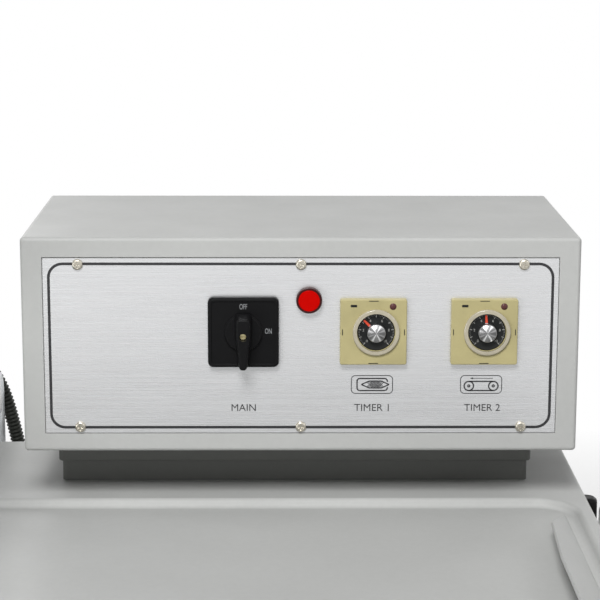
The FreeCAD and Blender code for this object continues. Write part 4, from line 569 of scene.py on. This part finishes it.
def make_conduit():
    """Corrugated conduit from the frame's gland to the arm's."""
    line = walk(smooth_line(CONDUIT_ROUTE, ROUTE_STEPS), RIB_PITCH / RIB_STEPS)
    waves = [0.5 - 0.5 * math.cos(math.tau * i / RIB_STEPS) for i in range(len(line))]
    radii = [CONDUIT_RADIUS - RIB_DEPTH * wave ** 1.6 for wave in waves]
    mesh = sweep("conduit_hose", line, radii, CONDUIT_SIDES)
    hose = add_piece("conduit_hose", mesh, FINISHES["conduit_plastic"], None)
    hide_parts("arm_conduit")
    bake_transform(hose)


# ---------------------------------------------------------------- lights and surroundings
WORLD_LEVEL = 0.12


def make_world():
    """White all round: at full strength as a background, and lower as a light."""
    world = bpy.data.worlds.new("studio")
    bpy.context.scene.world = world
    world.use_nodes = True
    tree = world.node_tree
    light = tree.nodes["Background"]
    light.inputs["Color"].default_value = (1.0, 1.0, 1.0, 1.0)
    light.inputs["Strength"].default_value = WORLD_LEVEL
    white = tree.nodes.new("ShaderNodeBackground")
    white.inputs["Color"].default_value = (1.0, 1.0, 1.0, 1.0)
    white.inputs["Strength"].default_value = 1.0
    path = tree.nodes.new("ShaderNodeLightPath")
    seen = None
    for ray in ("Is Camera Ray", "Is Glossy Ray", "Is Transmission Ray"):
        if seen is None:
            seen = path.outputs[ray]
            continue
        either = tree.nodes.new("ShaderNodeMath")
        either.operation = "MAXIMUM"
        tree.links.new(seen, either.inputs[0])
        tree.links.new(path.outputs[ray], either.inputs[1])
        seen = either.outputs["Value"]
    mix = tree.nodes.new("ShaderNodeMixShader")
    tree.links.new(seen, mix.inputs["Fac"])
    tree.links.new(light.outputs["Background"], mix.inputs[1])
    tree.links.new(white.outputs["Background"], mix.inputs[2])
    tree.links.new(mix.outputs["Shader"], tree.nodes["World Output"].inputs["Surface"])


def add_softbox(name, around, azimuth, elevation, size, level):
    """A square softbox aimed at a point from LIGHT_DISTANCE away. Azimuth 0 is in front of the
    machine and grows to the operator's right. At level 1 a white card facing it renders white."""
    light = bpy.data.lights.new(name, "AREA")
    light.size = size
    light.energy = level * math.pi ** 2 * LIGHT_DISTANCE ** 2
    obj = bpy.data.objects.new(name, light)
    bpy.context.scene.collection.objects.link(obj)
    turn, rise = math.radians(azimuth), math.radians(elevation)
    away = Vector((math.sin(turn) * math.cos(rise), -math.cos(turn) * math.cos(rise),
                   math.sin(rise)))
    obj.location = Vector(around) + away * LIGHT_DISTANCE
    obj.rotation_euler = away.to_track_quat("Z", "Y").to_euler()


FLOOR_STEPS = 64
FLOOR_RINGS = (0.0, 0.8, 1.6, 2.6, 4.0)
FLOOR_FADE = (1.4, 3.6)        # radii between which the floor fades out
FLOOR_DROP = 0.5 * MM          # keeps it from touching the feet


def make_floor():
    """Plain pale floor that fades into the white background at its edge."""
    look = Finish("studio floor", (0.88, 0.88, 0.88), 0.9)
    look.mottle(0.3, 0.01)
    shader = look.shader
    clear = look.add("ShaderNodeBsdfTransparent").outputs["BSDF"]
    reach = look.add("ShaderNodeVectorMath", {"operation": "LENGTH"})
    look.tree.links.new(look.place, reach.inputs[0])
    fade = look.spread(reach.outputs["Value"], 0.0, 1.0, FLOOR_FADE)
    mix = look.add("ShaderNodeMixShader", Fac=fade)
    look.tree.links.new(shader.outputs["BSDF"], mix.inputs[1])
    look.tree.links.new(clear, mix.inputs[2])
    look.tree.links.new(mix.outputs["Shader"],
                        look.tree.nodes["Material Output"].inputs["Surface"])
    build = bmesh.new()
    for near, far in zip(FLOOR_RINGS, FLOOR_RINGS[1:]):
        for i in range(FLOOR_STEPS):
            a, b = math.tau * i / FLOOR_STEPS, math.tau * (i + 1) / FLOOR_STEPS
            corners = [(near, a), (far, a), (far, b)] + ([(near, b)] if near else [])
            build.faces.new([build.verts.new((r * math.cos(t), r * math.sin(t), 0.0))
                             for r, t in corners])
    bmesh.ops.remove_doubles(build, verts=build.verts, dist=1e-7)
    floor = bpy.data.objects.new("floor", mesh_from(build, "floor"))
    bpy.context.scene.collection.objects.link(floor)
    floor.data.materials.append(look.material)
    floor.location.z = -FLOOR_DROP


LIGHT_DISTANCE = 3.0
SOFTBOXES = (                  # name, azimuth, elevation, size, level
    ("key", -10, 42, 1.0, 0.88),
    ("side_right", 62, 30, 0.8, 0.09),
    ("side_left", -38, -6, 1.2, 0.24),
    ("back_left", 205, 22, 1.4, 0.16),
    ("back_right", 140, 22, 1.4, 0.16),
)


def make_lights():
    """The world and the softboxes, all aimed at the control head."""
    make_world()
    head = [(a + b) / 2 for a, b in zip(*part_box("head_shell"))]
    for name, azimuth, elevation, size, level in SOFTBOXES:
        add_softbox(name, head, azimuth, elevation, size, level)


# ---------------------------------------------------------------- control panel
PRINT = 0.05 * MM              # how far print stands off what it is on
BORDER_INSET = 4.1 * MM
BORDER_WIDTH = 2.0 * MM
BORDER_RADIUS = 11.0 * MM
CAPTION_HEIGHT = 5.2 * MM
CAPTION_RISE = 18.8 * MM       # above the panel's lower edge
SYMBOL_DROP = 39.9 * MM        # below the timers' middles
SYMBOL_WIDE = 30.5 * MM
SYMBOL_TALL = 13.9 * MM
SYMBOL_CORNER = 3.2 * MM
SYMBOL_LINE = 0.6 * MM
THICK_LINE = 1.0 * MM          # in both symbols
FILM_SHIFT = -0.5 * MM         # each symbol stands a little left of its timer
BELT_SHIFT = -1.1 * MM


def middle(node):
    low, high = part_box(node)
    return [(a + b) / 2 for a, b in zip(low, high)]


def make_panel_print():
    """Border, captions and symbols printed on the panel."""
    low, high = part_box("control_panel")
    front = low[1] - PRINT
    inset = BORDER_INSET - BORDER_WIDTH / 2
    line = frame_line(low[0] + inset, high[0] - inset, low[2] + inset, high[2] - inset,
                      BORDER_RADIUS, BORDER_WIDTH, front)
    add_piece("panel_border", slab("panel_border", line, PRINT), BLACK_INK)
    switch, sealing, feeding = (middle(n) for n in (
        "switch_plate", "sealing_timer_case", "feeding_timer_case"))
    caption_z = low[2] + CAPTION_RISE
    lettering("panel_captions", [("MAIN", switch[0], front, caption_z),
                                 ("TIMER 1", sealing[0], front, caption_z),
                                 ("TIMER 2", feeding[0], front, caption_z)],
              CAPTION_HEIGHT, BLACK_INK)
    symbol_z = sealing[2] - SYMBOL_DROP
    film_symbol(sealing[0] + FILM_SHIFT, symbol_z, front)
    belt_symbol(feeding[0] + BELT_SHIFT, symbol_z, front)


def symbol_frame(x, z, front):
    """The rounded frame round a symbol."""
    wide, tall = SYMBOL_WIDE / 2, SYMBOL_TALL / 2
    return frame_line(x - wide, x + wide, z - tall, z + tall, SYMBOL_CORNER, SYMBOL_LINE, front)


def path_line(points, width, front):
    """Strokes from each point to the next."""
    return [stroke(*a, *b, width, front) for a, b in zip(points, points[1:])]


def film_symbol(x, z, front):
    """A hatched pack half inside an open film sleeve, in a rounded frame."""
    shapes = symbol_frame(x, z, front)
    left, right, top, bend = x - 10.8 * MM, x + 11.1 * MM, 4.5 * MM, 1.9 * MM
    turns = ((right - bend, z + top - bend), (left + bend, z + top - bend),
             (left + bend, z - top + bend), (right - bend, z - top + bend))
    sleeve = [(right, z + bend)]
    for quarter, turn in enumerate(turns):
        sleeve += arc(*turn, bend, 90 * quarter, 90 * quarter + 90, 6)
    sleeve.append((right, z - bend))
    shapes += path_line(sleeve, THICK_LINE, front)
    start, end, high = x - 7.7 * MM, x + 12.4 * MM, 2.6 * MM
    shoulders = (x - 2.0 * MM, x + 6.8 * MM)
    pack = [(start, z), (shoulders[0], z + high), (shoulders[1], z + high), (end, z),
            (shoulders[1], z - high), (shoulders[0], z - high), (start, z)]
    shapes += path_line(pack, 0.9 * MM, front)
    hatches, reach = 9, high * 0.8
    for side in (-1, 1):
        for i in range(hatches):
            a = shoulders[0] + (shoulders[1] - shoulders[0]) * i / (hatches - 1)
            shapes.append(stroke(a - reach, z - side * reach, a + reach, z + side * reach,
                                 0.4 * MM, front))
    add_piece("symbol_film_pack", slab("symbol_film_pack", shapes, PRINT), BLACK_INK)


def belt_symbol(x, z, front):
    """A belt round two rollers, with the way it runs, in a rounded frame."""
    shapes = symbol_frame(x, z, front)
    reach, radius, low = 8.9 * MM, 3.9 * MM, z - 1.1 * MM
    for side in (-1, 1):
        run = low + side * (radius - THICK_LINE / 2)
        shapes += ring_line(x + side * reach, low, radius, THICK_LINE, front, 28)
        shapes += ring_line(x + side * reach, low, 1.2 * MM, 0.9 * MM, front, 16)
        shapes.append(stroke(x - reach, run, x + reach, run, THICK_LINE, front))
    high = z + 4.6 * MM
    shapes.append(stroke(x - 6.5 * MM, high, x + 8.5 * MM, high, 0.45 * MM, front))
    shapes.append(([(x - 8.3 * MM, high), (x - 6.0 * MM, high - 0.8 * MM),
                    (x - 6.0 * MM, high + 0.8 * MM)], front))
    add_piece("symbol_belt", slab("symbol_belt", shapes, PRINT), BLACK_INK)


BOSS_PROUD = 2.6 * MM          # how far the switch's boss stands out of its plate's field
WORD_HEIGHT = 3.9 * MM


def make_switch_words():
    """The two positions of the switch, printed on its plate."""
    low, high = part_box("switch_plate")
    x, z = (low[0] + high[0]) / 2, (low[2] + high[2]) / 2
    front = low[1] + BOSS_PROUD - PRINT
    lettering("switch_words", [("OFF", x, front, z + 19.1 * MM),
                               ("ON", x + 18.0 * MM, front, z + 1.2 * MM)],
              WORD_HEIGHT, GREY_INK, squeeze=0.58)


# ---------------------------------------------------------------- timers
DIAL_DISC = 13.5 * MM
SCALE_SWEEP = 270.0
SCALE_STEPS = 50               # fine marks
SCALE_TOP = 10                 # the highest number
NUMBER_RADIUS = 9.3 * MM
NUMBER_HEIGHT = 1.8 * MM
MARK_END = 12.9 * MM
RECESS = 1.0 * MM              # the dial's recess in the timer's face
DISC_THICK = 0.12 * MM


def scale_angle(share):
    """Direction of a share of the scale, clockwise from its lower left end."""
    return math.radians(90 + SCALE_SWEEP / 2 - SCALE_SWEEP * share)


def dial_centre(side):
    """The dial's x and z."""
    low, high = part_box(f"{side}_timer_bezel")
    return (low[0] + high[0]) / 2, (low[2] + high[2]) / 2


def make_dial(side):
    """Black scale with white marks, and the small fittings on one timer's face."""
    low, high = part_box(f"{side}_timer_case")
    x, z = dial_centre(side)
    face = low[1]
    floor = face + RECESS - DISC_THICK
    disc = [(0, floor), (DIAL_DISC - 0.8 * MM, floor), (DIAL_DISC - 0.4 * MM, floor - 0.15 * MM),
            (DIAL_DISC, floor - 0.1 * MM), (DIAL_DISC, floor + 0.2 * MM)]
    add_piece(f"{side}_dial_disc", lathe(f"{side}_dial_disc", disc, (x, z)), DIAL_BLACK)
    front = floor - PRINT
    marks = []
    for i in range(SCALE_STEPS + 1):
        angle = scale_angle(i / SCALE_STEPS)
        inner = (11.0 if i % 5 == 0 else 11.9) * MM
        width = (0.42 if i % 5 == 0 else 0.16) * MM
        c, s = math.cos(angle), math.sin(angle)
        marks.append(stroke(x + inner * c, z + inner * s, x + MARK_END * c, z + MARK_END * s,
                            width, front))
    add_piece(f"{side}_dial_marks", slab(f"{side}_dial_marks", marks, PRINT / 2), WHITE_INK)
    numbers = []
    for i in range(0, SCALE_TOP + 1, 2):
        angle = scale_angle(i / SCALE_TOP)
        numbers.append((str(i), x + NUMBER_RADIUS * math.cos(angle), front,
                        z + NUMBER_RADIUS * math.sin(angle)))
    lettering(f"{side}_dial_numbers", numbers, NUMBER_HEIGHT, WHITE_INK)
    x, z = (low[0] + high[0]) / 2, (low[2] + high[2]) / 2
    lamp = [(0, face - 0.9 * MM), (1.2 * MM, face - 0.8 * MM), (1.9 * MM, face - 0.4 * MM),
            (2.0 * MM, face - 0.1 * MM), (2.4 * MM, face - 0.15 * MM), (2.5 * MM, face + 0.1 * MM)]
    add_piece(f"{side}_indicator", lathe(f"{side}_indicator", lamp,
                                         (x + 13.9 * MM, z + 18.9 * MM), 24),
              LED_BROWN)
    window_x, window_z = x - 14.2 * MM, z + 19.3 * MM
    notches = [(rounded(window_x - 2.3 * MM, window_x + 2.3 * MM, window_z - 0.9 * MM,
                        window_z + 0.9 * MM, 0.5 * MM), face - PRINT)]
    for turn in (-1, 1):
        edge = x + turn * 22.3 * MM
        notches.append((rounded(edge - 0.3 * MM, edge + 0.3 * MM, z - 2.2 * MM, z + 2.2 * MM,
                                0.25 * MM), face - PRINT))
        edge = z + turn * 22.9 * MM
        notches.append((rounded(x - 3.5 * MM, x + 3.5 * MM, edge - 0.3 * MM, edge + 0.3 * MM,
                                0.25 * MM), face - PRINT))
    add_piece(f"{side}_timer_notches", slab(f"{side}_timer_notches", notches, PRINT), DIAL_BLACK)


def make_cap_face(side, body):
    """Turned end of the knob: fine rings, and glints painted into its colour by angle."""
    x, z = dial_centre(side)
    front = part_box(f"{side}_timer_dial")[0][1]
    profile = [(0, front - 0.05 * MM), (0.5 * MM, front - 0.12 * MM), (6.1 * MM, front - 0.12 * MM),
               (6.35 * MM, front + 0.3 * MM)]
    look = Finish(f"{side} cap face", (0.6, 0.6, 0.61), 0.3, 0.9)
    look.fan((x, 0.0, z))
    add_piece(f"{side}_cap_face", lathe(f"{side}_cap_face", profile, (x, z)), look,
              body)


# ---------------------------------------------------------------- return spring
SPRING_TURNS = 16
SPRING_WIRE = 1.3 * MM
SPRING_HOOK = 6.5 * MM         # straight length at each end
TURN_STEPS = 20


def make_spring():
    """Extension spring: close coils between two straight hooks."""
    low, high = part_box("return_spring")
    x, z = (low[0] + high[0]) / 2, (low[2] + high[2]) / 2
    radius = (high[0] - low[0]) / 2 - SPRING_WIRE
    start, stop = low[1] + SPRING_HOOK, high[1] - SPRING_HOOK
    points = [Vector((x, low[1], z)), Vector((x, (low[1] + start) / 2, z))]
    count = SPRING_TURNS * TURN_STEPS
    for i in range(count + 1):
        turn = math.tau * i / TURN_STEPS
        points.append(Vector((x + radius * math.cos(turn), start + (stop - start) * i / count,
                              z + radius * math.sin(turn))))
    points += [Vector((x, (high[1] + stop) / 2, z)), Vector((x, high[1], z))]
    mesh = sweep("spring_coil", points, [SPRING_WIRE] * len(points), 10)
    coil = add_piece("spring_coil", mesh, DULL_STEEL, None)
    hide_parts("return_spring")
    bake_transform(coil)


# ---------------------------------------------------------------- the scene
bpy.context.scene.view_settings.view_transform = "Standard"
make_camera()
make_conduit()
dress_nodes()
make_panel_print()
make_switch_words()
for timer, dial_body in (("sealing", "sealing_dial"), ("feeding", "feeding_dial")):
    make_dial(timer)
    make_cap_face(timer, dial_body)
make_spring()
make_floor()
make_lights()
